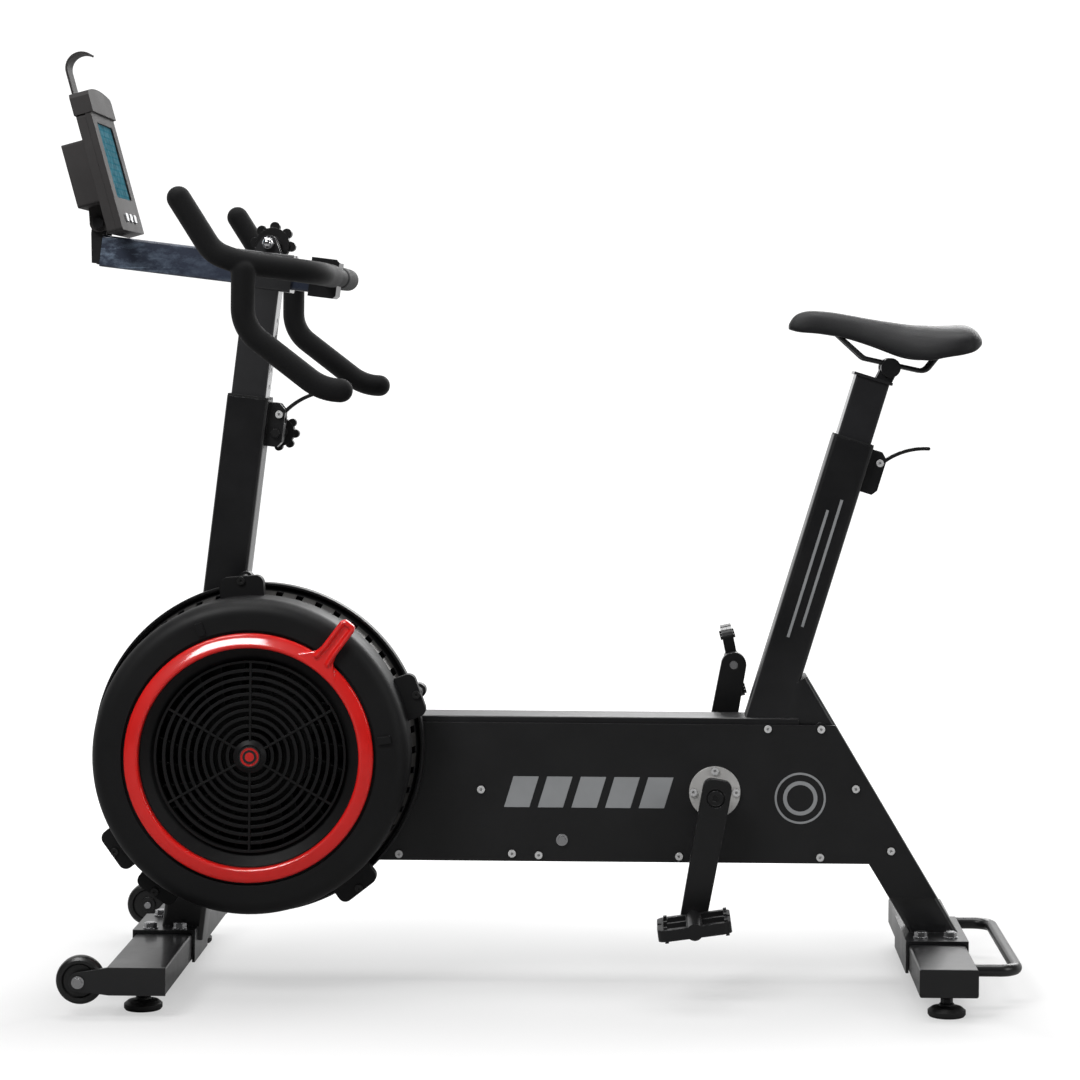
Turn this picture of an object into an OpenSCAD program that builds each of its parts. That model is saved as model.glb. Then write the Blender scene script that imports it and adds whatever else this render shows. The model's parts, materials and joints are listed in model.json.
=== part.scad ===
// Fan-resistance exercise bike. Front of the bike is -X, the rider's left side is -Y, up is +Z.
// The origin is on the floor, under the middle of the whole bike.

/* [Frame] */
// Side of the square mast and seat tubes
tube_w = 60; // [59:0.5:61]
// Wall of the frame tubes
tube_wall = 2.5; // [2.2:0.1:2.6]
// Backward lean of the mast from upright, in degrees
mast_lean = 6.5; // [6.3:0.1:6.7]
// Backward lean of the seat tube from upright, in degrees
seat_lean = 16.9; // [16.7:0.1:17.1]
// Forward lean of the rear leg from upright, in degrees
leg_lean = 31; // [30.8:0.1:31.2]
// Height of the top of the beam
beam_top = 379; // [378:0.5:380]
// Height of the underside of the beam
beam_bottom = 173; // [172:0.5:174]
// Width of the beam between its side plates
beam_w = 70; // [69.6:0.1:70.4]
// Thickness of a side plate
plate_t = 5; // [4.8:0.1:5]
// Height of the upper edge of a side plate
plate_top = 370; // [369.5:0.5:370.5]

/* [Feet] */
// Length of the front stabiliser
front_bar_len = 570; // [560:5:575]
// Length of the rear stabiliser
rear_bar_len = 508; // [500:2:516]
// Width of a stabiliser tube
bar_w = 80; // [79:0.5:81]
// Height of a stabiliser tube
bar_h = 38; // [37:0.5:38]
// Distance between the left and right levelling feet
foot_track = 450; // [440:5:455]
// Radius of a transport wheel
wheel_r = 32.5; // [31:0.5:33]
// How far the carry handle reaches behind the rear stabiliser's middle
handle_reach = 112.7; // [110:0.1:116]

/* [Drive] */
// Length of a crank arm between its two axes
crank_len = 170; // [165:1:172]
// Angle of the left crank arm from straight down, in degrees
crank_angle = 10; // [6:1:14]
// Rolling radius of the pulley on the crank spindle
drive_r = 68; // [66:0.5:68]
// Rolling radius of the small intermediate pulley
small_r = 20; // [19.5:0.5:20.5]
// Rolling radius of the large intermediate pulley
large_r = 62; // [61:0.5:62]
// Rolling radius of the pulley on the fan shaft
fan_pulley_r = 17; // [16.5:0.5:17]

/* [Fan] */
// Radius of the front shell of the fan housing
shell_r = 219; // [218:0.5:220]
// Radius of the rear rim of the fan housing
rim_r = 233; // [232:0.5:234]
// Radius of the fan wheel
fan_r = 188; // [184:1:190]
// Number of blades on the fan wheel
blade_count = 24; // [20:2:28]
// Number of rings in the front grille
ring_count = 9; // [6:1:9]
// Pitch of the rings in the front grille
ring_pitch = 11; // [10.6:0.1:11.2]

/* [Cockpit] */
// Side of the square sliding posts
post_w = 50; // [49.5:0.1:50.2]
// Side of the square bar that carries the handlebar
bar_side = 45; // [44.8:0.1:45.2]
// Distance of each grip from the middle of the bike
grip_y = 282; // [278:1:284]
// Radius of the handlebar's steel tube
steel_r = 14; // [13.8:0.1:14]
// Radius of the steel tube of the drops
drop_r = 12.7; // [12.5:0.1:12.8]
// Radius of the foam on the handlebar
foam_r = 16.3; // [16.2:0.1:16.6]
// Radius of the foam on the drops
drop_foam_r = 15.7; // [15.4:0.1:15.8]
// Backward tilt of the console from upright, in degrees
console_tilt = 15.8; // [15:0.1:16.5]

/* [Saddle] */
// Width of the saddle at its back
saddle_w = 158; // [152:1:162]
// Distance between the two saddle rails
rail_gap = 44; // [43:0.5:44]

/* [Hidden] */
$fn = 64;

// Running clearance of a shaft in its bore
run = 0.05;
// Clearance of a part that only passes another
gap = 0.25;

// Places in the side view, as [x, z]
mast_top = [-416, 830];
seat_top = [451, 775];
crank_at = [256, 274];
jack_at = [-77, 275];
fan_at = [-390, 336];
tension_at = [39, 204.2];
leg_apex = [389, 435];
front_bar_x = -524;
rear_bar_x = 570;
bar_top = 69;
bar_bottom = bar_top - bar_h;
wheel_at = [-601, 49];
plate_y = beam_w / 2;
plate_out = plate_y + plate_t;
rail_h = 24;
base_rail_h = 20;
screw_r = 3;
screw_head_r = 5.5;
screw_head_h = 3.3;
mast_len = (mast_top[1] - bar_top) / cos(mast_lean);

// Screws that hold each side plate, as [x, z]
plate_screws = [
    [-470, 183], [-193, 182], [-32, 184], [6, 182], [206, 182], [407, 182], [508, 192],
    [457, 280], [-440, 364.5], [331, 364.5], [407, 364.5], jack_at
];

// Colours
black_coat = "#202124";
steel = "#b9bcc0";
chrome = "#d6d8db";
plastic = "#2a2b2d";
rubber = "#1a1a1b";
red = "#d21f1c";

// ---- helpers ----

// Puts children in a frame whose z axis leans back from upright by an angle.
module leaning(at, angle) {
    translate([at[0], 0, at[1]]) rotate([0, angle, 0]) children();
}

// A cylinder along y from y0 to y1, at a place in the side view.
module y_rod(at, y0, y1, r, fn = 64) {
    translate([at[0], y0, at[1]]) rotate([-90, 0, 0]) cylinder(h = y1 - y0, r = r, $fn = fn);
}

// Extrudes a side-view outline from y0 to y1.
module y_slab(y0, y1) {
    translate([0, y1, 0]) rotate([90, 0, 0]) linear_extrude(y1 - y0) children();
}

// Extrudes an end-view outline, drawn as [y, z], from x0 to x1.
module x_slab(x0, x1) {
    translate([x0, 0, 0]) rotate([90, 0, 90]) linear_extrude(x1 - x0) children();
}

// Turns a profile, drawn as [radius, y], about the y axis through a place in the side view.
module y_turned(at) {
    translate([at[0], 0, at[1]]) rotate([-90, 0, 0]) rotate_extrude($fn = 128) children();
}

// Outline of a rectangle with rounded corners, centred.
function rounded(w, d, r) = [
    for (q = [0:3], a = [0:15:90])
        let (sx = q == 0 || q == 3 ? 1 : -1, sy = q < 2 ? 1 : -1)
        [sx * (w / 2 - r), sy * (d / 2 - r)] + r * [cos(a + 90 * q), sin(a + 90 * q)]
];

// Points along an arc.
function arc(at, r, a0, a1, steps) = [
    for (i = [0:steps]) at + r * [cos(a0 + (a1 - a0) * i / steps), sin(a0 + (a1 - a0) * i / steps)]
];

function unit(v) = v / norm(v);

// Puts children at a point, with their z axis along z and their x axis along x.
module oriented(at, z, x) {
    y = cross(z, x);
    multmatrix([
        [x[0], y[0], z[0], at[0]],
        [x[1], y[1], z[1], at[1]],
        [x[2], y[2], z[2], at[2]],
        [0, 0, 0, 1]
    ]) children();
}

// A round rod through points, with a bend radius at each inner point. The straights are a hair
// thinner than the bends and run a little way into them.
module bent_rod(points, bends, r) {
    lap = 1;
    step = 0.06;
    last = len(points) - 1;
    way = [for (i = [0:last - 1]) unit(points[i + 1] - points[i])];
    turn = [for (i = [0:last]) i == 0 || i == last ? 0 : acos(way[i - 1] * way[i])];
    trim = [for (i = [0:last]) i == 0 || i == last ? 0 : bends[i - 1] * tan(turn[i] / 2)];
    for (i = [0:last - 1]) {
        from = points[i] + way[i] * (trim[i] - (i == 0 ? 0 : lap));
        to = points[i + 1] - way[i] * (trim[i + 1] - (i == last - 1 ? 0 : lap));
        side = abs(way[i][2]) < 0.9 ? unit(cross(way[i], [0, 0, 1])) : unit(cross(way[i], [0, 1, 0]));
        oriented(from, way[i], side) cylinder(h = norm(to - from), r = r - step, $fn = 48);
    }
    for (i = [1:1:last - 1]) {
        inward = unit(way[i] - (way[i] * way[i - 1]) * way[i - 1]);
        oriented(points[i] - way[i - 1] * trim[i], way[i - 1], inward)
            translate([bends[i - 1], 0, 0])
                rotate([90, 0, 180])
                    rotate_extrude(angle = turn[i], $fn = 96)
                        translate([bends[i - 1], 0]) circle(r = r, $fn = 48);
    }
}

// A square tube standing on z = 0.
module square_bar(w, r, h) {
    linear_extrude(h) polygon(rounded(w, w, r));
}

// Mirrors children to both sides of the bike.
module both_sides() {
    children();
    mirror([0, 1, 0]) children();
}

// A button-head screw along y: its head stands on y, outside, and its shank goes inwards.
module button_screw(at, y, length) {
    y_rod(at, y - 1, y + length, screw_r, 32);
    difference() {
        y_rod(at, y - screw_head_h, y, screw_head_r, 32);
        y_rod(at, y - screw_head_h - 1, y - screw_head_h + 2, 2, 6);
    }
}

// A star knob about y, with its back face on y.
module star_knob(at, y, r, h, lobes) {
    translate([at[0], y, at[1]]) rotate([-90, 0, 0]) {
        cylinder(h = h, r = r * 0.74);
        for (i = [0:lobes - 1])
            rotate(i * 360 / lobes) translate([r * 0.78, 0, h * 0.15])
                cylinder(h = h * 0.7, r = r * 0.22, $fn = 32);
        translate([0, 0, -h * 0.25]) cylinder(h = h, r = r * 0.36, $fn = 48);
    }
}

// ---- frame ----

function leg_x(z) = leg_apex[0] + (leg_apex[1] - z) * tan(leg_lean);
leg_wide = tube_w / cos(leg_lean);
leg_in = [leg_apex[0] - tube_w / 2 * cos(leg_lean), leg_apex[1] - tube_w / 2 * sin(leg_lean)];

module mast_outer() {
    leaning(mast_top, mast_lean)
        translate([0, 0, -mast_len - 12]) square_bar(tube_w, 6, mast_len + 12);
}

module mast_bore() {
    leaning(mast_top, mast_lean)
        translate([0, 0, -mast_len + 12]) square_bar(tube_w - 2 * tube_wall, 3.5, mast_len);
}

module seat_tube_outer() {
    difference() {
        leaning(seat_top, seat_lean) translate([0, 0, -450]) square_bar(tube_w, 6, 450);
        translate([0, -100, beam_top - rail_h - 200]) cube([600, 200, 200]);
    }
}

module seat_tube_bore() {
    leaning(seat_top, seat_lean)
        translate([0, 0, -400]) square_bar(tube_w - 2 * tube_wall, 3.5, 402);
}

module leg_outer() {
    leaning(leg_in, -leg_lean) translate([0, 0, -430]) square_bar(tube_w, 6, 434);
}

module leg_bore() {
    leaning(leg_in, -leg_lean)
        translate([0, 0, -394]) square_bar(tube_w - 2 * tube_wall, 3.5, 389);
}

module beam_rail(x0, x1, z0, z1) {
    x_slab(x0, x1) translate([0, (z0 + z1) / 2]) polygon(rounded(beam_w, z1 - z0, 2.5));
}

module beam_rail_bore(x0, x1, z0, z1) {
    translate([x0, -beam_w / 2 + tube_wall, z0 + tube_wall])
        cube([x1 - x0, beam_w - 2 * tube_wall, z1 - z0 - 2 * tube_wall]);
}

// A saddle bracket that sits over a stabiliser tube.
module foot_bracket(x, half_len) {
    cover = 4;
    difference() {
        translate([x - bar_w / 2 - cover - gap, -half_len, bar_bottom - 2])
            cube([bar_w + 2 * cover + 2 * gap, 2 * half_len, bar_h + 2 + gap + 5]);
        translate([x - bar_w / 2 - gap, -half_len - 1, 0])
            cube([bar_w + 2 * gap, 2 * half_len + 2, bar_top + gap]);
    }
}

bolt_x = 21;
front_bolt_y = 47;
rear_bolt_y = 65;

// The four bolt places of a bracket.
module bolt_places(x, y) {
    for (sx = [-1, 1], sy = [-1, 1])
        translate([x + sx * bolt_x, sy * y, 0]) children();
}

block_depth = 24;
block_y = 14;
lever_pivot = [46, -19];
stud_at = [44, -46];

// The clamp block on the back of a tube, with a slot for the lever.
module clamp_block() {
    difference() {
        y_slab(-block_y, block_y)
            polygon([
                [tube_w / 2 - 1.5, -66], [tube_w / 2 + block_depth - 6, -66],
                [tube_w / 2 + block_depth, -58], [tube_w / 2 + block_depth, -12],
                [tube_w / 2 + block_depth - 9, -3], [tube_w / 2 - 1.5, -3]
            ]);
        translate([tube_w / 2 + 6, -7, -31]) cube([50, 14, 50]);
        y_rod(lever_pivot, -block_y - 1, block_y + 1, screw_r + run, 32);
    }
}

module main_frame() {
    color(black_coat) difference() {
        union() {
            mast_outer();
            beam_rail(-478, 375, beam_top - rail_h, beam_top);
            beam_rail(-500, 500, beam_bottom, beam_bottom + base_rail_h);
            seat_tube_outer();
            leg_outer();
            foot_bracket(front_bar_x, 60);
            foot_bracket(rear_bar_x, 92);
            leaning(mast_top, mast_lean) clamp_block();
            leaning(seat_top, seat_lean) clamp_block();
            for (at = [[508, 192], [457, 280], [407, 364.5]])
                y_rod(at, -plate_y, plate_y, 9, 32);
        }
        mast_bore();
        seat_tube_bore();
        leg_bore();
        beam_rail_bore(-478, 335, beam_top - rail_h, beam_top);
        beam_rail_bore(-478, 500, beam_bottom, beam_bottom + base_rail_h);
        translate([front_bar_x - bar_w / 2 - gap, -100, 0])
            cube([bar_w + 2 * gap, 200, bar_top + gap]);
        translate([rear_bar_x - bar_w / 2 - gap, -100, 0])
            cube([bar_w + 2 * gap, 200, bar_top + gap]);
        bolt_places(front_bar_x, front_bolt_y) cylinder(h = 100, r = 5.2, $fn = 32);
        bolt_places(rear_bar_x, rear_bolt_y) cylinder(h = 100, r = 5.2, $fn = 32);
        for (at = plate_screws)
            if (at != jack_at) y_rod(at, -plate_y - 1, plate_y + 1, screw_r + run, 32);
        leaning(mast_top, mast_lean) y_rod(stud_at, -40, 40, 4 + run, 32);
        // Room under the top rail for the front bearings, their bolts and the fan belt
        y_rod(fan_at, -plate_y - 1, plate_y + 1, bearing_flange_r);
    }
}

// ---- side plates ----

bearing_boss_r = 26;
bearing_flange_r = 36.5;
bearing_bolt_r = 30.5;
bearing_bolt_angles = [0, 90, 180, 270];

module plate_outline() {
    front = mast_top[0] - 7 - (mast_top[1] - plate_top) * tan(mast_lean);
    front_low = mast_top[0] - 7 - (mast_top[1] - beam_bottom) * tan(mast_lean);
    polygon([
        [front, plate_top], [leg_x(plate_top) - 1, plate_top],
        [leg_x(125) - 1, 125], [leg_x(125) - leg_wide + 1, 125],
        [leg_x(beam_bottom) - leg_wide, beam_bottom], [front_low, beam_bottom]
    ]);
}

module side_plate() {
    difference() {
        y_slab(-plate_out, -plate_y - 0.02) plate_outline();
        for (at = plate_screws)
            y_rod(at, -plate_out - 1, -plate_y + 1, screw_r + run, 32);
        for (at = [crank_at, fan_at]) {
            y_rod(at, -plate_out - 1, -plate_y + 1, bearing_boss_r + 0.1);
            for (a = bearing_bolt_angles)
                y_rod(at + bearing_bolt_r * [cos(a), sin(a)], -plate_out - 1, -plate_y + 1, screw_r + run, 32);
        }
        y_rod(tension_at, -plate_out - 1, -plate_y + 1, 5 + run, 32);
    }
}

module side_plate_left() {
    color(black_coat) side_plate();
}

module side_plate_right() {
    color(black_coat) mirror([0, 1, 0]) side_plate();
}

// Every M6 button-head screw of the frame: plates, bearing flanges, housing lugs and lever pivots.
module button_screws() {
    color(steel) {
        both_sides() {
            for (at = plate_screws)
                button_screw(at, -plate_out - 0.02, at == jack_at ? 9 : 12);
            for (at = [crank_at, fan_at], a = bearing_bolt_angles)
                button_screw(at + bearing_bolt_r * [cos(a), sin(a)], -plate_out - bearing_flange_t - 0.04, 13);
        }
        for (a = lug_angles)
            button_screw(fan_at + lug_screw_r * [cos(a), sin(a)], lug_front - 0.02, 60);
        leaning(mast_top, mast_lean) button_screw(lever_pivot, -block_y - 0.02, 2 * block_y - 1);
        leaning(seat_top, seat_lean) button_screw(lever_pivot, -block_y - 0.02, 2 * block_y - 1);
    }
}

// ---- stabilisers, feet and wheels ----

module stabiliser_tube(x, length, bolt_y) {
    difference() {
        translate([x, -length / 2, bar_bottom + bar_h / 2]) rotate([-90, 0, 0])
            linear_extrude(length) polygon(rounded(bar_w, bar_h, 3));
        translate([x, -length / 2 - 1, bar_bottom + bar_h / 2]) rotate([-90, 0, 0])
            linear_extrude(length + 2) polygon(rounded(bar_w - 5, bar_h - 5, 1.5));
        bolt_places(x, bolt_y) translate([0, 0, 50]) cylinder(h = 30, r = 5.2, $fn = 32);
        for (y = [-1, 1] * foot_track / 2)
            translate([x, y, 0]) cylinder(h = 60, r = 5 + run, $fn = 32);
    }
    // Nuts welded inside, for the levelling feet
    for (y = [-1, 1] * foot_track / 2)
        translate([x, y, bar_bottom + 1]) difference() {
            cylinder(h = 14, r = 11);
            translate([0, 0, -5]) cylinder(h = 30, r = 5 + run, $fn = 32);
        }
}

module front_stabiliser() {
    arm_r = 13;
    end_y = -front_bar_len / 2;
    color(black_coat) {
        stabiliser_tube(front_bar_x, front_bar_len, front_bolt_y);
        // Wheel bracket plates at both ends
        both_sides() difference() {
            y_slab(end_y - 4, end_y - 0.02) polygon(concat(
                arc(wheel_at, arm_r, 100, 270, 10),
                [[wheel_at[0] + 22, bar_bottom + 3], [front_bar_x - bar_w / 2 + 4, bar_bottom + 0.5]],
                [[front_bar_x + bar_w / 2, bar_bottom + 0.5], [front_bar_x + bar_w / 2, bar_top]],
                [[front_bar_x - bar_w / 2 + 4, bar_top]]
            ));
            y_rod(wheel_at, end_y - 10, end_y + 10, 5 + run, 32);
        }
        // Welds that join the bracket plates to the tube ends
        both_sides() for (x = [-1, 1])
            translate([front_bar_x + x * (bar_w / 2 - 1.6) - 0.8, end_y - 1, bar_bottom + 10])
                cube([1.6, 3, bar_h - 20]);
    }
}

module rear_stabiliser() {
    handle_y = 168;
    handle_r = 8.5;
    z = bar_bottom + bar_h / 2;
    back = rear_bar_x + bar_w / 2;
    far = rear_bar_x + handle_reach - handle_r;
    color(black_coat) {
        stabiliser_tube(rear_bar_x, rear_bar_len, rear_bolt_y);
        bent_rod([
            [back - 1.5, -handle_y, z], [far, -handle_y, z], [far, handle_y, z], [back - 1.5, handle_y, z]
        ], [26, 26], handle_r);
    }
}

module end_cap(x, y, length) {
    translate([x, y, bar_bottom + bar_h / 2]) rotate([-90, 0, 0])
        linear_extrude(length) polygon(rounded(bar_w - 5.4, bar_h - 5.4, 1.3));
}

// Plugs in the four tube ends. The rear pair also has a flat lid outside.
module end_caps() {
    color(plastic) both_sides() {
        end_cap(front_bar_x, -front_bar_len / 2 + 3, 18);
        end_cap(rear_bar_x, -rear_bar_len / 2 - 0.02, 18);
        translate([rear_bar_x, -rear_bar_len / 2 - 4, bar_bottom + bar_h / 2]) rotate([-90, 0, 0])
            linear_extrude(3.98) polygon(rounded(bar_w, bar_h, 3));
    }
}

module hex_bolt(z, length) {
    translate([0, 0, z - length]) cylinder(h = length, r = 5, $fn = 32);
    translate([0, 0, z]) cylinder(h = 1.6, r = 10.5, $fn = 48);
    translate([0, 0, z + 1.5]) cylinder(h = 6.5, r = 9.2, $fn = 6);
    translate([0, 0, z + 7.9]) cylinder(h = 1, r = 6.8, $fn = 32);
}

module stabiliser_bolts() {
    top = bar_top + gap + 5 + 0.02;
    color(steel) {
        bolt_places(front_bar_x, front_bolt_y) hex_bolt(top, 34);
        bolt_places(rear_bar_x, rear_bolt_y) hex_bolt(top, 34);
    }
}

wheel_in = 2.5;
wheel_t = 24;

// An M10 shoulder bolt along y with its head outside.
module shoulder_bolt(at, y, length) {
    y_rod(at, y - 1, y + length, 5, 32);
    y_rod(at, y - 3, y, 8.5, 48);
    y_rod(at, y - 5, y - 2.5, 6, 6);
}

module shoulder_bolts() {
    color(steel) {
        both_sides()
            shoulder_bolt(wheel_at, -front_bar_len / 2 - 4.02, 4 + wheel_in + wheel_t + 4);
        shoulder_bolt(tension_at, -plate_out - 0.02, plate_t + 12);
    }
}

foot_pad_r = 26;

// A levelling foot: a swivelling pad on a threaded stem.
module levelling_foot(x, y) {
    color(rubber) translate([x, y, 0]) {
        rotate_extrude($fn = 96) polygon([
            [0, 0], [foot_pad_r - 2, 0], [foot_pad_r, 2.5], [foot_pad_r, 8], [foot_pad_r - 5, 12],
            [11, 14], [10, 17], [0, 17]
        ]);
        translate([0, 0, 16]) cylinder(h = 42, r = 5, $fn = 32);
        translate([0, 0, 18]) cylinder(h = 6, r = 8.5, $fn = 6);
    }
}

module foot_front_left() {
    levelling_foot(front_bar_x, -foot_track / 2);
}

module foot_front_right() {
    levelling_foot(front_bar_x, foot_track / 2);
}

module foot_rear_left() {
    levelling_foot(rear_bar_x, -foot_track / 2);
}

module foot_rear_right() {
    levelling_foot(rear_bar_x, foot_track / 2);
}

// A transport wheel: rounded tread, dished sides and a hub with a bore.
module transport_wheel() {
    y0 = -front_bar_len / 2 + wheel_in;
    y1 = y0 + wheel_t;
    r = wheel_r;
    color(rubber) y_turned(wheel_at) polygon([
        [5 + run, y0], [11, y0], [11, y0 + 4], [r - 11, y0 + 4], [r - 9, y0 + 1],
        [r - 5, y0 + 1], [r - 1.5, y0 + 3.5], [r, y0 + 8], [r, y1 - 8], [r - 1.5, y1 - 3.5],
        [r - 5, y1 - 1], [r - 9, y1 - 1], [r - 11, y1 - 4], [11, y1 - 4], [11, y1], [5 + run, y1]
    ]);
}

module wheel_left() {
    transport_wheel();
}

module wheel_right() {
    mirror([0, 1, 0]) transport_wheel();
}

// ---- crank drive ----

spindle_r = 10;
bearing_flange_t = 4;
arm_in = 87;
arm_t = 15;
pedal_y = 110;
pedal_len = 98;

// A flange bearing unit in a side plate, with its flange outside.
module flange_bearing(at) {
    difference() {
        union() {
            y_rod(at, -plate_out - bearing_flange_t - 0.02, -plate_out - 0.02, bearing_flange_r, 96);
            y_rod(at, -plate_out - 1, -plate_y + 12, bearing_boss_r);
            y_rod(at, -plate_out - bearing_flange_t - 3, -plate_out, 17);
        }
        y_rod(at, -60, 0, spindle_r + run);
        for (a = bearing_bolt_angles)
            y_rod(at + bearing_bolt_r * [cos(a), sin(a)], -60, 0, screw_r + run, 32);
    }
}

module flange_bearings() {
    color(steel) both_sides() {
        flange_bearing(crank_at);
        flange_bearing(fan_at);
    }
}

module crank_spindle() {
    color(steel) {
        y_rod(crank_at, -arm_in - arm_t + 4, arm_in + arm_t - 4, spindle_r);
        y_rod(crank_at, -22.5, 4, spindle_r + 5);
    }
}

crank_dir = [-sin(crank_angle), -cos(crank_angle)];
left_pedal_at = crank_at + crank_len * crank_dir;
right_pedal_at = crank_at - crank_len * crank_dir;

// One crank arm on the left, pointing down the page before it is turned.
module crank_arm() {
    difference() {
        translate([crank_at[0], 0, crank_at[1]]) rotate([0, crank_angle, 0])
            y_slab(-arm_in - arm_t, -arm_in) hull() {
                translate([0, 3]) polygon(rounded(41, 46, 12));
                translate([0, -crank_len]) circle(r = 18.5, $fn = 48);
            }
        y_rod(crank_at, -120, -60, spindle_r + run);
        y_rod(crank_at, -arm_in - arm_t - 1, -arm_in - arm_t + 4.1, 13, 48);
        y_rod(left_pedal_at, -120, -60, 6 + run);
    }
    difference() {
        y_rod(crank_at, -arm_in - 1, -arm_in + 14, 16);
        y_rod(crank_at, -120, -60, spindle_r + run);
    }
}

module crank_arm_left() {
    color(black_coat) crank_arm();
}

module crank_arm_right() {
    color(black_coat)
        translate([crank_at[0], 0, crank_at[1]]) rotate([0, 180, 0])
            translate([-crank_at[0], 0, -crank_at[1]]) mirror([0, 1, 0]) crank_arm();
}

module crank_bolts() {
    y = arm_in + arm_t - 4 + 0.02;
    color(steel) for (s = [0, 180])
        translate([crank_at[0], 0, crank_at[1]]) rotate([0, 0, s]) difference() {
            y_rod([0, 0], -y - 4.5, -y, 11, 48);
            y_rod([0, 0], -y - 5.5, -y - 1.5, 4.6, 6);
        }
}

// A toothless ribbed pulley about y, with flanges, from y0 to y1.
module pulley(at, r, y0, y1, bore) {
    difference() {
        union() {
            y_rod(at, y0, y1, r, 96);
            y_rod(at, y0, y0 + 1.2, r + 3, 96);
            y_rod(at, y1 - 1.2, y1, r + 3, 96);
        }
        y_rod(at, y0 - 1, y1 + 1, bore);
    }
}

crank_lane = [-20, -2];
fan_lane = [3, 21];

module drive_pulley() {
    color(steel) difference() {
        pulley(crank_at, drive_r, crank_lane[0], crank_lane[1], spindle_r + 5 + run);
        for (a = [0:60:300])
            y_rod(crank_at + 42 * [cos(a), sin(a)], -60, 60, 13, 48);
    }
}

module pedal_axles() {
    color(steel) for (s = [0, 1]) {
        at = s == 0 ? left_pedal_at : right_pedal_at;
        mirror([0, s, 0]) {
            y_rod(at, -pedal_y - pedal_len + 6, -arm_in - 1, 6, 48);
            y_rod(at, -pedal_y + 2, -arm_in - arm_t - 0.02, 10, 48);
        }
    }
}

// A platform pedal about y on the left side, level before it is turned.
module pedal(at, turn) {
    y0 = -pedal_y - pedal_len;
    long = 102;
    color(plastic) difference() {
        translate([at[0], 0, at[1]]) rotate([0, turn, 0]) {
            difference() {
                translate([0, y0 + pedal_len / 2, -8]) linear_extrude(16)
                    polygon(rounded(long, pedal_len, 14));
                for (sx = [-1, 1], k = [0, 1])
                    translate([sx * 26.5, y0 + 10 + k * 42, -20]) translate([-16, 0, 0])
                        cube([32, 36, 40]);
                for (sx = [-1, 1])
                    translate([sx * long / 2, y0 + pedal_len / 2, -20]) cylinder(h = 40, r = 7, $fn = 48);
            }
            y_rod([0, 0], y0, y0 + pedal_len, 11.5);
            // Grip studs
            for (sx = [-1, 1], y = [8, 49, 90])
                translate([sx * 42, y0 + y - 3, -11]) cube([5, 6, 22]);
        }
        y_rod(at, y0 + 5.5, -60, 6 + run, 48);
        y_rod(at, -pedal_y - 0.5, -60, 11, 48);
    }
}

module pedal_left() {
    pedal(left_pedal_at, -8);
}

module pedal_right() {
    mirror([0, 1, 0]) pedal(right_pedal_at, 78);
}

module jackshaft_axle() {
    color(steel) difference() {
        y_rod(jack_at, -plate_y + 0.02, plate_y - 0.02, 10);
        for (s = [-1, 1])
            y_rod(jack_at, s < 0 ? -plate_y - 1 : plate_y - 5, s < 0 ? -plate_y + 5 : plate_y + 1, screw_r + run, 32);
    }
}

module jackshaft_pulleys() {
    color(steel) {
        pulley(jack_at, small_r, crank_lane[0], crank_lane[1], 10 + run);
        difference() {
            union() {
                pulley(jack_at, large_r, fan_lane[0], fan_lane[1], 10 + run);
                y_rod(jack_at, crank_lane[1] - 1, fan_lane[0] + 1, 18);
            }
            y_rod(jack_at, -60, 60, 10 + run);
            for (a = [0:72:288])
                y_rod(jack_at + 40 * [cos(a), sin(a)], fan_lane[0] - 1, fan_lane[1] + 1, 12, 48);
        }
    }
}

idler_r = 16;
idler_at = [80, 211.8];

module tensioner_arm() {
    color(steel) {
        difference() {
            y_slab(-29, -23) hull() {
                translate(tension_at) circle(r = 11, $fn = 48);
                translate(idler_at) circle(r = 9, $fn = 48);
            }
            y_rod(tension_at, -60, 0, 5 + run, 32);
        }
        y_rod(idler_at, -23.5, crank_lane[1], 5, 48);
    }
}

module tensioner_pulley() {
    color(steel) difference() {
        y_rod(idler_at, crank_lane[0] - 1, crank_lane[1], idler_r, 96);
        y_rod(idler_at, crank_lane[0] - 2, crank_lane[1] + 1, 5 + run, 48);
        y_rod(idler_at, crank_lane[0] - 2, crank_lane[0] + 2, idler_r - 4, 48);
    }
}

belt_t = 3;

// A flat belt around two pulleys, inside a pulley lane.
module belt(at_a, r_a, at_b, r_b, lane) {
    color(rubber) y_slab(lane[0] + 2, lane[1] - 2) difference() {
        hull() {
            translate(at_a) circle(r = r_a + gap + belt_t, $fn = 96);
            translate(at_b) circle(r = r_b + gap + belt_t, $fn = 96);
        }
        hull() {
            translate(at_a) circle(r = r_a + gap, $fn = 96);
            translate(at_b) circle(r = r_b + gap, $fn = 96);
        }
    }
}

module crank_belt() {
    belt(crank_at, drive_r, jack_at, small_r, crank_lane);
}

module fan_belt() {
    belt(jack_at, large_r, fan_at, fan_pulley_r, fan_lane);
}

// ---- fan ----

housing_back = -52;
rear_depth = 20;
shell_front = -180;
seat_r = 176;
throat_r = 150;
grille_r = 133;
lug_angles = [95, 20, -52, -125, 216];
lug_screw_r = 240;
lug_front = -118;
mesh_back = housing_back - rear_depth + 3;

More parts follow.
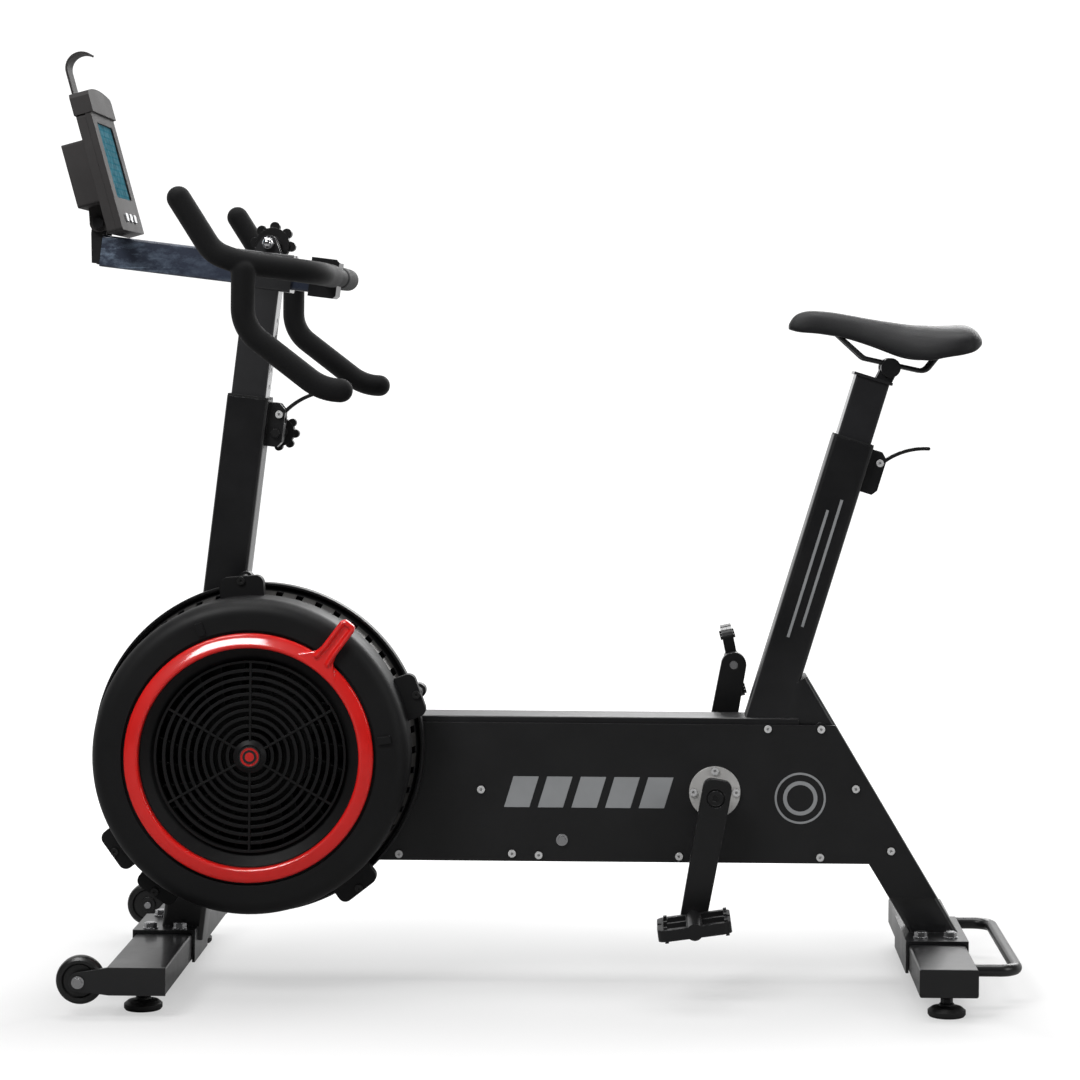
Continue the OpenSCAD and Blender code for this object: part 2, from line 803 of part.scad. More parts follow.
// Rear shell: a back wall bolted to the left side plate, a rim, and the perforated outlet band.
module housing_rear() {
    wall = 3;
    color(plastic) {
        difference() {
            union() {
                y_turned(fan_at) polygon([
                    [bearing_flange_r + 3, housing_back], [rim_r, housing_back],
                    [rim_r, housing_back - rear_depth], [rim_r - wall, housing_back - rear_depth],
                    [rim_r - wall, housing_back - wall], [bearing_flange_r + 3, housing_back - wall]
                ]);
                for (a = lug_angles)
                    y_rod(fan_at + lug_screw_r * [cos(a), sin(a)], housing_back - rear_depth, housing_back, 10, 48);
                // Stand-offs to the side plate
                for (a = [0, 180, 270])
                    y_rod(fan_at + 62 * [cos(a), sin(a)], housing_back - 1, -plate_out - 0.04, 10, 48);
            }
            for (a = lug_angles)
                y_rod(fan_at + lug_screw_r * [cos(a), sin(a)], -200, 0, screw_r + run, 32);
        }
        // Outlet band between the two shells
        difference() {
            y_turned(fan_at) polygon([
                [rim_r - 8, housing_back - wall + 0.5], [rim_r - 6, housing_back - wall + 0.5],
                [shell_r - 4, lug_front + 16], [shell_r - 6, lug_front + 16]
            ]);
            for (a = [0:7.5:352.5])
                translate([fan_at[0], 0, fan_at[1]]) rotate([0, a, 0])
                    translate([rim_r - 30, -96, -5]) cube([40, 24, 10]);
        }
    }
}

module lug_outline(a) {
    rotate(a) hull() {
        translate([shell_r - 24, -30]) square([1, 60]);
        translate([lug_screw_r - 5, -20]) circle(r = 11, $fn = 32);
        translate([lug_screw_r - 5, 20]) circle(r = 11, $fn = 32);
    }
}

// Front shell: rounded edge, a flat face with a seat for the damper ring, a throat and five lugs.
module housing_front() {
    wall = 3;
    round_r = 22;
    back = lug_front + 18;
    color(plastic) difference() {
        union() {
            y_turned(fan_at) polygon(concat(
                [[shell_r - wall, back], [shell_r, back]],
                [for (i = [0:8]) let (a = i * 90 / 8)
                    [shell_r - round_r + round_r * cos(a), shell_front + round_r - round_r * sin(a)]],
                [[seat_r, shell_front], [seat_r, shell_front + 6], [throat_r, shell_front + 6]],
                [[grille_r, shell_front + 22], [grille_r, shell_front + 30]],
                [[grille_r + wall, shell_front + 30], [grille_r + wall, shell_front + 24]],
                [[throat_r + 1, shell_front + 6 + wall], [seat_r + wall, shell_front + 6 + wall]],
                [for (i = [8:-1:0]) let (a = i * 90 / 8)
                    [shell_r - round_r + (round_r - wall) * cos(a), shell_front + round_r - (round_r - wall) * sin(a)]]
            ));
            translate([fan_at[0], 0, fan_at[1]]) y_slab(lug_front, back) difference() {
                union() {
                    for (a = lug_angles) lug_outline(a);
                }
                circle(r = shell_r - wall + 0.5, $fn = 128);
            }
            // Spacer bosses that reach back to the rear shell's lugs
            for (a = lug_angles)
                y_rod(fan_at + lug_screw_r * [cos(a), sin(a)], back - 1, housing_back - rear_depth - 0.05, 6.5, 48);
            // Stops for the damper lever
            for (a = [111, 8])
                translate([fan_at[0], 0, fan_at[1]]) rotate([0, -a, 0])
                    translate([seat_r + 4, shell_front - 4, -5]) cube([18, 6, 10]);
        }
        for (a = lug_angles)
            y_rod(fan_at + lug_screw_r * [cos(a), sin(a)], -200, 0, screw_r + run, 32);
    }
}

hub_r = 23;

// Front grille: louvre rings on six spokes around a hub.
module fan_grille() {
    front = shell_front + 14;
    back = front + 12;
    color(plastic) difference() {
        union() {
            for (i = [0:ring_count - 1])
                y_turned(fan_at) polygon([
                    [hub_r + 6 + i * ring_pitch, front + 1], [hub_r + 10.5 + i * ring_pitch, front + 1],
                    [hub_r + 10.5 + i * ring_pitch, back], [hub_r + 6 + i * ring_pitch, back]
                ]);
            y_turned(fan_at) polygon([
                [grille_r - 3.5, front], [grille_r - 0.1, front], [grille_r - 0.1, back], [grille_r - 3.5, back]
            ]);
            for (a = [30:60:330])
                translate([fan_at[0], 0, fan_at[1]]) rotate([0, -a, 0])
                    translate([hub_r - 3, front, -1.5]) cube([grille_r - hub_r + 1.5, 11, 3]);
            y_turned(fan_at) polygon([
                [0, front - 3], [hub_r - 6, front - 3], [hub_r, front + 1], [hub_r, back], [0, back]
            ]);
        }
        y_rod(fan_at, front - 10, front - 1, 15.5);
    }
}

module hub_badge() {
    front = shell_front + 14;
    color(red) difference() {
        y_rod(fan_at, front - 4, front - 1.02, 15);
        for (r = [11])
            y_turned(fan_at) polygon([[r - 1, front - 5], [r + 1, front - 5], [r + 1, front - 3.2], [r - 1, front - 3.2]]);
    }
}

fan_front = -150;
fan_back = -66;

// Fan wheel: a steel flywheel disc, a hub, blades and an outer ring.
module fan_wheel() {
    color(steel) difference() {
        union() {
            y_rod(fan_at, fan_back - 8, fan_back, fan_r - 4, 128);
            y_rod(fan_at, fan_front + 4, fan_back, 24);
            for (i = [0:blade_count - 1])
                translate([fan_at[0], 0, fan_at[1]]) rotate([0, i * 360 / blade_count, 0])
                    translate([78, fan_front + 10, -1]) rotate([0, 24, 0])
                        cube([fan_r - 84, -fan_front + fan_back - 14, 2]);
            y_turned(fan_at) polygon([
                [fan_r - 14, fan_front + 6], [fan_r - 2, fan_front + 6],
                [fan_r - 2, fan_front + 11.5], [fan_r - 14, fan_front + 11.5]
            ]);
        }
        y_rod(fan_at, -200, 0, spindle_r + run);
    }
}

module fan_shaft() {
    color(steel) {
        y_rod(fan_at, fan_front + 6, plate_out + 6, spindle_r);
        difference() {
            pulley(fan_at, fan_pulley_r, fan_lane[0], fan_lane[1], 1);
            y_rod(fan_at, -60, 60, spindle_r - 2);
        }
    }
}

lever_angle = 53.5;
lever_in = 165;
lever_out = 234;

// Damper ring with its twin-ribbed lever.
module damper_ring() {
    out = shell_front - 3;
    color(red) {
        y_turned(fan_at) polygon([
            [throat_r + 1, shell_front + 5.7], [throat_r + 1, out - 2], [throat_r + 3, out - 3.5],
            [172, out], [172, shell_front + 5.7]
        ]);
        translate([fan_at[0], 0, fan_at[1]]) rotate([0, -lever_angle, 0]) {
            translate([lever_in, out - 3, -12]) cube([lever_out - lever_in, 3, 24]);
            for (z = [-12, 8])
                translate([lever_in, out - 8, z]) cube([lever_out - lever_in, 6, 4]);
            translate([lever_out - 4, out - 8, -12]) cube([4, 8, 24]);
        }
    }
}

// ---- mast and handlebar ----

bushing_len = 70;

// Plastic guide between an outer tube and its sliding post.
module post_bushing() {
    inner = tube_w - 2 * tube_wall - 2 * gap;
    difference() {
        union() {
            translate([0, 0, -bushing_len]) square_bar(inner, 3, bushing_len + 1);
            translate([0, 0, 0.05]) square_bar(tube_w - 1, 5, 3);
        }
        translate([0, 0, -bushing_len - 1]) square_bar(post_w + 2 * run, 4, bushing_len + 10);
    }
}

module post_bushings() {
    color(plastic) {
        leaning(mast_top, mast_lean) post_bushing();
        leaning(seat_top, seat_lean) post_bushing();
    }
}

head_z = 183;
sleeve_half = 27;
ear_z = head_z + 40;

// Handlebar post with the head sleeve welded across its top.
module handlebar_post() {
    color(steel) leaning(mast_top, mast_lean) difference() {
        union() {
            translate([0, 0, -230]) square_bar(post_w, 4, 230 + head_z - sleeve_half + 1);
            translate([0, 0, head_z]) x_slab(-41, 41) polygon(rounded(2 * sleeve_half, 2 * sleeve_half, 4));
            for (y = [-11, 5])
                y_slab(y, y + 6) polygon(concat(
                    [[-20, head_z + sleeve_half - 1], [20, head_z + sleeve_half - 1]],
                    arc([0, ear_z], 12, 30, 150, 8)
                ));
        }
        translate([0, 0, -240]) square_bar(post_w - 5, 2, 240 + head_z - sleeve_half - 3);
        translate([0, 0, head_z]) x_slab(-50, 50)
            polygon(rounded(bar_side + 2 * gap, bar_side + 2 * gap, 3));
        translate([-50, -4.5, head_z]) cube([100, 9, 60]);
        y_rod([0, ear_z], -20, 20, 4 + run, 32);
        // Row of height adjustment holes in the back face
        for (i = [0:11])
            translate([post_w / 2 - 6, 0, -150 + i * 24]) rotate([0, 90, 0]) cylinder(h = 10, r = 3.5, $fn = 32);
    }
}

module head_knob() {
    color(rubber) leaning(mast_top, mast_lean) {
        star_knob([0, ear_z], 36, 33, 20, 8);
        y_rod([0, ear_z], 11.1, 37, 8, 48);
        y_rod([0, ear_z], -18, 37, 4, 32);
    }
}

module head_nut() {
    color(chrome) leaning(mast_top, mast_lean) difference() {
        union() {
            y_rod([0, ear_z], -18, -11.1, 9.2, 6);
            y_rod([0, ear_z], -19.5, -17, 8.5, 48);
            translate([0, -19, ear_z]) sphere(r = 7.6, $fn = 48);
        }
        y_rod([0, ear_z], -20, 0, 4 + run, 32);
    }
}

module mast_knob() {
    color(rubber) leaning(mast_top, mast_lean) {
        star_knob(stud_at, 38, 27.5, 18, 8);
        y_rod(stud_at, block_y + 0.1, 39, 8, 48);
        y_rod(stud_at, -20, 39, 4, 32);
        y_rod(stud_at, -20, -block_y - 0.1, 7, 6);
    }
}

// A curved clamp lever on its pivot.
module clamp_lever() {
    sweep_at = [131.6, -75.4];
    sweep_r = 100;
    thick = 2.5;
    difference() {
        union() {
            y_rod(lever_pivot, -6.5, 6.5, 8, 48);
            y_slab(-6, 6) polygon(concat(
                arc(sweep_at, sweep_r - thick, 145, 104, 12),
                arc(sweep_at + sweep_r * [cos(104), sin(104)], thick, -76, 104, 8),
                arc(sweep_at, sweep_r + thick, 104, 145, 12)
            ));
        }
        y_rod(lever_pivot, -20, 20, screw_r + run, 32);
    }
}

module mast_lever() {
    color(rubber) leaning(mast_top, mast_lean) clamp_lever();
}

module seat_lever() {
    color(rubber) leaning(seat_top, seat_lean) clamp_lever();
}

bar_front = -235;
clamp_front = 67;
clamp_back = 107;
tube_at = [101, head_z + 3.4];

// Square slider bar with the handlebar cradle welded on its back end.
module slider_bar() {
    color("#3a4250") leaning(mast_top, mast_lean) difference() {
        union() {
            translate([0, 0, head_z]) x_slab(bar_front, clamp_front + 2)
                polygon(rounded(bar_side, bar_side, 3.5));
            translate([0, 0, head_z]) y_slab(-30, 30) polygon([
                [clamp_front, -28], [clamp_back - 4, -28], [clamp_back, -24], [clamp_back, 24],
                [clamp_back - 4, 28], [clamp_front, 28]
            ]);
        }
        translate([0, 0, head_z]) x_slab(bar_front - 1, clamp_front - 4)
            polygon(rounded(bar_side - 6, bar_side - 6, 1.5));
        y_rod(tube_at, -60, 60, steel_r + run);
    }
}

// Corner points of the handlebar, from the middle out to the upper tip, on the right side.
bar_mid = mast_top + [
    tube_at[0] * cos(mast_lean) + tube_at[1] * sin(mast_lean),
    -tube_at[0] * sin(mast_lean) + tube_at[1] * cos(mast_lean)
];
bar_path = [
    [bar_mid[0], 205, bar_mid[1]], [-395, grip_y, 1015.5], [-430, grip_y, 1029], [-485, grip_y, 1115]
];
bar_bends = [88, 60, 45];
foam_end = foam_r * 0.7;
drop_path = [[-389, grip_y, 1010], [-389, grip_y, 928], [-279, grip_y, 844], [-240, grip_y, 845.5]];
drop_bends = [55, 70];

function flip(points) = [for (i = [len(points) - 1:-1:0]) [points[i][0], -points[i][1], points[i][2]]];
function shorten(points, cut) = let (last = len(points) - 1) [
    for (i = [0:last])
        i < last ? points[i] : points[i] - cut * unit(points[i] - points[i - 1])
];

// The handlebar's tubes, grown by a distance and shortened at the tips.
module bar_tubes(grow, cut) {
    tips = shorten(bar_path, cut);
    bent_rod(
        concat(flip(tips), tips),
        [bar_bends[2], bar_bends[1], bar_bends[0], bar_bends[0], bar_bends[1], bar_bends[2]],
        steel_r + grow
    );
    both_sides() bent_rod(shorten(drop_path, cut), drop_bends, drop_r + grow);
}

module handlebar() {
    color(steel) difference() {
        bar_tubes(0, foam_end);
        bar_tubes(-2, foam_end - 2);
    }
}

// A rounded tip of the foam, on the end of a path.
module foam_tip(points, tube_r) {
    last = len(points) - 1;
    way = unit(points[last] - points[last - 1]);
    r = tube_r - 0.16;
    oriented(points[last], way, [0, 1, 0]) rotate_extrude($fn = 48) polygon(concat(
        [[0, -1], [r, -1]],
        [for (a = [0:15:75]) [r * cos(a), r * sin(a) * 0.7]],
        [[0, r * 0.7]]
    ));
}

// Foam on the handlebar, left and right, with closed round tips.
module handlebar_foam() {
    tips = shorten(bar_path, foam_end);
    drops = shorten(drop_path, foam_end);
    color(rubber) difference() {
        both_sides() {
            bent_rod(concat([[bar_mid[0], 33, bar_mid[1]]], tips), bar_bends, foam_r);
            bent_rod(drops, drop_bends, drop_foam_r);
            foam_tip(tips, foam_r);
            foam_tip(drops, drop_foam_r);
        }
        bar_tubes(0.14, foam_end - 0.5);
    }
}

// ---- console ----

pivot_at = [-630.5, 1077.6];
pivot_local = [
    (pivot_at[0] - mast_top[0]) * cos(mast_lean) - (pivot_at[1] - mast_top[1]) * sin(mast_lean),
    (pivot_at[0] - mast_top[0]) * sin(mast_lean) + (pivot_at[1] - mast_top[1]) * cos(mast_lean)
];

module console_bracket() {
    cheek = 11;
    color(black_coat) {
        leaning(mast_top, mast_lean) translate([bar_front - 4, -22, head_z - 20]) cube([3.95, 44, 40]);
        leaning(mast_top, mast_lean) both_sides() y_slab(-22, -18) polygon(concat(
            arc(pivot_local, cheek, 0, 180, 12),
            [[bar_front - 17, head_z + 23], [bar_front - 11, head_z - 19]],
            [[bar_front - 0.05, head_z - 19], [bar_front - 0.05, head_z + 23.3], [bar_front + 4.9, head_z + 23.3]]
        ));
        y_rod(pivot_at, -34, 34, 5, 48);
        both_sides() y_rod(pivot_at, -38, -33.5, 8, 32);
    }
}

case_x = [18, 31];
case_z = [-23, 149];
case_y = 88;
box_x = -16;
box_y = 72;
box_z = [24, 116];
hook_x = 11;
hook_t = 3;
hook_y = 20;

// Puts children in the console's own frame: x towards the rider, z up its back.
module console_frame() {
    leaning(pivot_at, -console_tilt) children();
}

module rounded_slab(x0, x1, half_y, z0, z1, r) {
    translate([0, 0, (z0 + z1) / 2]) x_slab(x0, x1) polygon(rounded(2 * half_y, z1 - z0, r));
}

// Rear half of the console with its battery box, hook guide and two pivot lugs.
module console_case() {
    wall = 2.5;
    color(plastic) console_frame() difference() {
        union() {
            rounded_slab(case_x[0], case_x[1], case_y, case_z[0], case_z[1] - 0.2, 5);
            rounded_slab(box_x, case_x[0] + 1, box_y, box_z[0], box_z[1], 4);
            for (y = [-32, 24])
                y_slab(y, y + 8) polygon(concat(
                    [[case_x[0] + 1, 26], [-8, 26]], arc([0, 0], 13, 160, 290, 12), [[case_x[0] + 1, -22]]
                ));
        }
        rounded_slab(case_x[0] + wall, case_x[1] + 1, case_y - wall, case_z[0] + wall, case_z[1] - wall, 3);
        rounded_slab(box_x + wall, case_x[0] + wall + 1, box_y - wall, box_z[0] + wall, box_z[1] - wall, 2);
        y_rod([0, 0], -60, 60, 5 + run, 48);
        translate([hook_x - hook_t / 2 - gap, -hook_y - gap, box_z[1] - wall - 1])
            cube([hook_t + 2 * gap, 2 * hook_y + 2 * gap, wall + 4]);
    }
}

screen_z = [26, 136];
screen_y = 58;
button_z = -3;
button_y = 32;

// Front bezel of the console with its crowned cap, screen window and button holes.
module console_front() {
    wall = 2.5;
    front = 40;
    cap = [15.9, 43.8];
    color(plastic) console_frame() difference() {
        union() {
            rounded_slab(case_x[1] + 0.05, front, case_y, case_z[0], case_z[1] + 3, 5);
            x_slab(cap[0], cap[1]) polygon(concat(
                [[-case_y - 1, case_z[1]], [case_y + 1, case_z[1]], [case_y + 1, 174]],
                [for (i = [0:12]) let (t = 1 - i / 6) [(case_y - 3) * t, 180 + 7 * (1 - t * t)]],
                [[-case_y - 1, 174]]
            ));
        }
        rounded_slab(case_x[1] - 1, front - wall, case_y - wall, case_z[0] + wall, case_z[1] + 2, 3);
        rounded_slab(cap[0] + wall, cap[1] - wall, case_y - wall, case_z[1] + wall, 176, 3);
        rounded_slab(front - 4, front + 5, screen_y, screen_z[0], screen_z[1], 3);
        for (y = [-1, 0, 1] * button_y)
            translate([0, y, 0]) rounded_slab(front - 4, front + 5, 9 + gap, button_z - 6 - gap, button_z + 6 + gap, 4);
    }
}

module console_screen() {
    color("#1f7f95") console_frame()
        rounded_slab(34, 37.3, screen_y + 3, screen_z[0] - 3, screen_z[1] + 3, 3);
}

module console_button(y) {
    color(steel) console_frame() translate([0, y, 0]) {
        rounded_slab(36, 42.2, 9, button_z - 6, button_z + 6, 4);
        rounded_slab(34, 36.5, 11, button_z - 8, button_z + 8, 4);
    }
}

module console_button_left() {
    console_button(-button_y);
}

module console_button_middle() {
    console_button(0);
}

module console_button_right() {
    console_button(button_y);
}

// Phone hook: a flat strip that slides in the battery box and curls over at the top.
module phone_hook() {
    curl_r = 22;
    curl_at = [hook_x + curl_r, 222];
    color(black_coat) console_frame() y_slab(-hook_y, hook_y) polygon(concat(
        [[hook_x - hook_t / 2, 78]],
        arc(curl_at, curl_r + hook_t / 2, 180, 48, 14),
        arc(curl_at, curl_r - hook_t / 2, 48, 180, 14),
        [[hook_x + hook_t / 2, 78]]
    ));
}

// ---- saddle ----

cradle = [19, 116];
barrel_r = 9;
rail_tilt = 12;
rail_lift = 5.2;
rail_r = 3.5;
cradle_at = seat_top + [
    cradle[0] * cos(seat_lean) + cradle[1] * sin(seat_lean),
    -cradle[0] * sin(seat_lean) + cradle[1] * cos(seat_lean)
];

// Seat post with its top plate and two ears that hold the saddle clamp.
module seat_post() {
    color(steel) leaning(seat_top, seat_lean) {
        difference() {
            union() {
                translate([0, 0, -250]) square_bar(post_w, 4, 343);
                translate([0, 0, 92]) square_bar(58, 4, 4);
            }
            translate([0, 0, -251]) square_bar(post_w - 5, 2, 343);
        }
        both_sides() difference() {
            y_slab(-13, -7.5) polygon(concat(
                [[cradle[0] - 15, 95.5], [cradle[0] + 9, 95.5]], arc(cradle, 13, -30, 200, 14)
            ));
            y_rod(cradle, -20, 20, barrel_r + run);
        }
    }
}

// Saddle clamp: a barrel that turns in the ears, with a grip for a rail at each end.
module saddle_clamp() {
    color(black_coat) difference() {
        union() {
            y_rod(cradle_at, -16, 16, barrel_r);
            both_sides() y_rod(cradle_at, -rail_gap / 2 - 7, -13.3, 14);
        }
        both_sides() saddle_rail(rail_r + 0.08, false);
    }
}

// One saddle rail on the left, at a radius, with or without its bent ends.
module saddle_rail(r, whole) {
    y = -rail_gap / 2;
    leaning(cradle_at, rail_tilt)
        bent_rod(whole ? [[-93, y + 12, 35.5], [-40, y, rail_lift], [50, y, rail_lift], [74, y, 53]]
                       : [[-40, y, rail_lift], [50, y, rail_lift]],
                 whole ? [14, 14] : [], r);
}

module saddle_rails() {
    color(steel) both_sides() saddle_rail(rail_r, true);
}

// Half widths of the saddle along its length, as [x, half width]
saddle_plan = [
    [357, 12], [364, 19], [382, 23], [420, 25], [460, 32], [495, 46], [530, 63],
    [565, 75], [595, 79], [616, 74], [628, 60], [632, 40]
];

// Plan outline of the saddle, drawn in by a distance.
module saddle_outline(inset) {
    k = saddle_w / 158;
    polygon(concat(
        [for (p = saddle_plan) [p[0], -max(p[1] * k - inset, 2)]],
        [for (i = [len(saddle_plan) - 1:-1:0]) [saddle_plan[i][0], max(saddle_plan[i][1] * k - inset, 2)]]
    ));
}

// Padded cover of the saddle, as a plain solid of the right size.
module saddle_cushion() {
    color(rubber) difference() {
        intersection() {
            translate([0, 0, 800]) linear_extrude(300) saddle_outline(0);
            y_slab(-100, 100) polygon([
                [357, 936], [361, 950], [371, 959], [386, 962.5], [441, 958], [487, 950], [528, 944],
                [575, 942], [612, 942.5], [626, 936], [632, 922], [624, 908], [600, 899], [560, 895],
                [520, 899], [480, 912], [440, 924], [400, 929], [372, 930]
            ]);
        }
        intersection() {
            translate([0, 0, 800]) linear_extrude(300) saddle_outline(9);
            y_slab(-100, 100) polygon([
                [368, 900], [368, 941], [440, 938], [500, 930], [560, 924], [622, 924], [622, 880], [480, 880]
            ]);
        }
    }
}

// Hard shell under the padding. The rails end in its underside.
module saddle_shell() {
    color(plastic) difference() {
        intersection() {
            translate([0, 0, 800]) linear_extrude(300) saddle_outline(9.3);
            y_slab(-100, 100) polygon([
                [369, 933], [369, 940.7], [440, 937.7], [500, 929.7], [560, 923.7], [621, 923.7],
                [621, 914], [560, 914], [500, 922], [440, 931]
            ]);
        }
        both_sides() saddle_rail(rail_r + 0.1, true);
    }
}

main_frame();
side_plate_left();
side_plate_right();
button_screws();
front_stabiliser();
rear_stabiliser();
end_caps();
stabiliser_bolts();
shoulder_bolts();
foot_front_left();
foot_front_right();
foot_rear_left();
foot_rear_right();
wheel_left();
wheel_right();
flange_bearings();
crank_spindle();
crank_arm_left();
crank_arm_right();
crank_bolts();
drive_pulley();
pedal_axles();
pedal_left();
pedal_right();
jackshaft_axle();
jackshaft_pulleys();
tensioner_arm();
tensioner_pulley();
crank_belt();
fan_belt();
housing_rear();
housing_front();
fan_grille();
hub_badge();
fan_wheel();
fan_shaft();
damper_ring();
post_bushings();
handlebar_post();
head_knob();
head_nut();
mast_knob();
mast_lever();
slider_bar();
handlebar();
handlebar_foam();
console_bracket();
console_case();
console_front();
console_screen();
console_button_left();
console_button_middle();
console_button_right();
phone_hook();
seat_lever();
seat_post();
saddle_clamp();
saddle_rails();
saddle_shell();
saddle_cushion();
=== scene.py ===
import json
import math

import bmesh
import bpy
import numpy as np
from mathutils import Matrix, Vector


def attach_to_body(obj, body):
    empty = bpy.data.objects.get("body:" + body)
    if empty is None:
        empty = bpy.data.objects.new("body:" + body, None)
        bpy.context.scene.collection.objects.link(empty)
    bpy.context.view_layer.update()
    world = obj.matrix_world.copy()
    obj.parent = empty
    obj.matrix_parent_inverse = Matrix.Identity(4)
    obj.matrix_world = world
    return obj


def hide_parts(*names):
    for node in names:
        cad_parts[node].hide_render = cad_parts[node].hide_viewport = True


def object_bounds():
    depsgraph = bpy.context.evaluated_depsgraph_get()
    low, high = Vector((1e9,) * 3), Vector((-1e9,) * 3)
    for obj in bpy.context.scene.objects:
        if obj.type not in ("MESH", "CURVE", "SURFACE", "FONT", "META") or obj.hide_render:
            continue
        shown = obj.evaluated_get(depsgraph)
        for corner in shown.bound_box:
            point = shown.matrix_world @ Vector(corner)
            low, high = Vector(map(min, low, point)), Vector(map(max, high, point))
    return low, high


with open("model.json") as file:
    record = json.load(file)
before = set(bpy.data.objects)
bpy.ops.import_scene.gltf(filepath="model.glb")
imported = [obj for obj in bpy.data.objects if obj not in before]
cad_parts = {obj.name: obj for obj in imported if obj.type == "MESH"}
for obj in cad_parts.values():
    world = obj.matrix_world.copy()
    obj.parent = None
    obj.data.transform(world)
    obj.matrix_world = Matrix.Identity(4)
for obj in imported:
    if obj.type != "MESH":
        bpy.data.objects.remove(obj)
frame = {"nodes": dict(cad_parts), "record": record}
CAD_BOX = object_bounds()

NODES = frame["nodes"]

# Places of the CAD model, in metres; x runs from fan to saddle, z up
FAN = Vector((-0.390, 0.0, 0.336))
MAST_TOP = (-0.416, 0.830)
MAST_LEAN = math.radians(6.5)
SEAT_TUBE_TOP = (0.451, 0.775)
SEAT_LEAN = math.radians(16.9)
PLATE_FACE_Y = -0.0400
SEAT_TUBE_FACE_Y = -0.0300
HANDLEBAR_ACROSS, HANDLEBAR_UP = 0.101, 0.1864
CLAMP_BLOCK_ACROSS = 0.067
OUTLET_BAND_R, OUTLET_BAND_Y = 0.228, -0.073
HOUSING_LUG_Y = -0.110
SCREEN_TILT = math.radians(15.8)

BAR_WAY = (math.cos(MAST_LEAN), 0.0, -math.sin(MAST_LEAN))


def leaned(top, lean, across, up):
    """(x, z) of a place across and up a leaning tube, counted from its top."""
    return (top[0] + across * math.cos(lean) + up * math.sin(lean),
            top[1] - across * math.sin(lean) + up * math.cos(lean))


# ---------------------------------------------------------------- materials

class Graph:
    """A small helper round a material's node tree."""

    def __init__(self, name):
        self.mat = bpy.data.materials.new(name)
        self.mat.use_nodes = True
        self.tree = self.mat.node_tree
        self.bsdf = self.tree.nodes["Principled BSDF"]
        coords = self.add("ShaderNodeTexCoord")
        self.at = coords.outputs["Object"]
        self.object_normal = coords.outputs["Normal"]

    def add(self, kind, **settings):
        node = self.tree.nodes.new(kind)
        for key, value in settings.items():
            setattr(node, key, value)
        return node

    def feed(self, socket, value):
        """Gives an input a number, a colour or vector, or another node's output."""
        if isinstance(value, (int, float)):
            socket.default_value = value
        elif isinstance(value, (tuple, Vector)):
            socket.default_value = (*value[:3], 1.0)[:len(socket.default_value)]
        else:
            self.tree.links.new(value, socket)

    def set(self, key, value):
        self.feed(self.bsdf.inputs[key], value)

    def base_color(self):
        return self.bsdf.inputs["Base Color"].links[0].from_socket

    def noise(self, scale, detail=3.0, rough=0.55, stretch=None):
        node = self.add("ShaderNodeTexNoise")
        self.feed(node.inputs["Scale"], scale)
        self.feed(node.inputs["Detail"], detail)
        self.feed(node.inputs["Roughness"], rough)
        at = self.at
        if stretch:
            mapping = self.add("ShaderNodeMapping")
            self.feed(mapping.inputs["Scale"], stretch)
            self.feed(mapping.inputs["Vector"], at)
            at = mapping.outputs["Vector"]
        self.feed(node.inputs["Vector"], at)
        return node.outputs["Fac"]

    def ramp(self, source, lo, hi, out_lo=0.0, out_hi=1.0):
        """Maps lo..hi to out_lo..out_hi in a straight line, clamped."""
        node = self.add("ShaderNodeMapRange")
        self.feed(node.inputs["From Min"], lo)
        self.feed(node.inputs["From Max"], hi)
        self.feed(node.inputs["To Min"], out_lo)
        self.feed(node.inputs["To Max"], out_hi)
        self.feed(node.inputs["Value"], source)
        return node.outputs["Result"]

    def mix(self, factor, a, b):
        """Colour a where factor is 0, b where it is 1."""
        node = self.add("ShaderNodeMix", data_type="RGBA")
        # Of the node's sockets, 0 is the factor and 6, 7 and output 2 are the colours
        self.feed(node.inputs[0], factor)
        self.feed(node.inputs[6], a)
        self.feed(node.inputs[7], b)
        return node.outputs[2]

    def math(self, operation, a, b=None):
        node = self.add("ShaderNodeMath", operation=operation)
        self.feed(node.inputs[0], a)
        if b is not None:
            self.feed(node.inputs[1], b)
        return node.outputs[0]

    def vector(self, operation, a, b=None):
        node = self.add("ShaderNodeVectorMath", operation=operation)
        self.feed(node.inputs[0], a)
        if b is not None:
            self.feed(node.inputs[1], b)
        return node.outputs["Value" if operation in ("DOT_PRODUCT", "LENGTH") else "Vector"]

    def split(self, source):
        node = self.add("ShaderNodeSeparateXYZ")
        self.feed(node.inputs[0], source)
        return node.outputs

    def fan_radius(self):
        """Distance from the fan's axis."""
        offset = self.vector("SUBTRACT", self.at, FAN)
        return self.vector("LENGTH", self.vector("MULTIPLY", offset, (1, 0, 1)))

    def voronoi(self, scale, at, **settings):
        node = self.add("ShaderNodeTexVoronoi", **settings)
        self.feed(node.inputs["Scale"], scale)
        self.feed(node.inputs["Vector"], at)
        return node.outputs["Distance"]

    def bump(self, height, strength, distance, normal=None):
        node = self.add("ShaderNodeBump")
        self.feed(node.inputs["Strength"], strength)
        self.feed(node.inputs["Distance"], distance)
        self.feed(node.inputs["Height"], height)
        if normal is not None:
            self.feed(node.inputs["Normal"], normal)
        return node.outputs["Normal"]


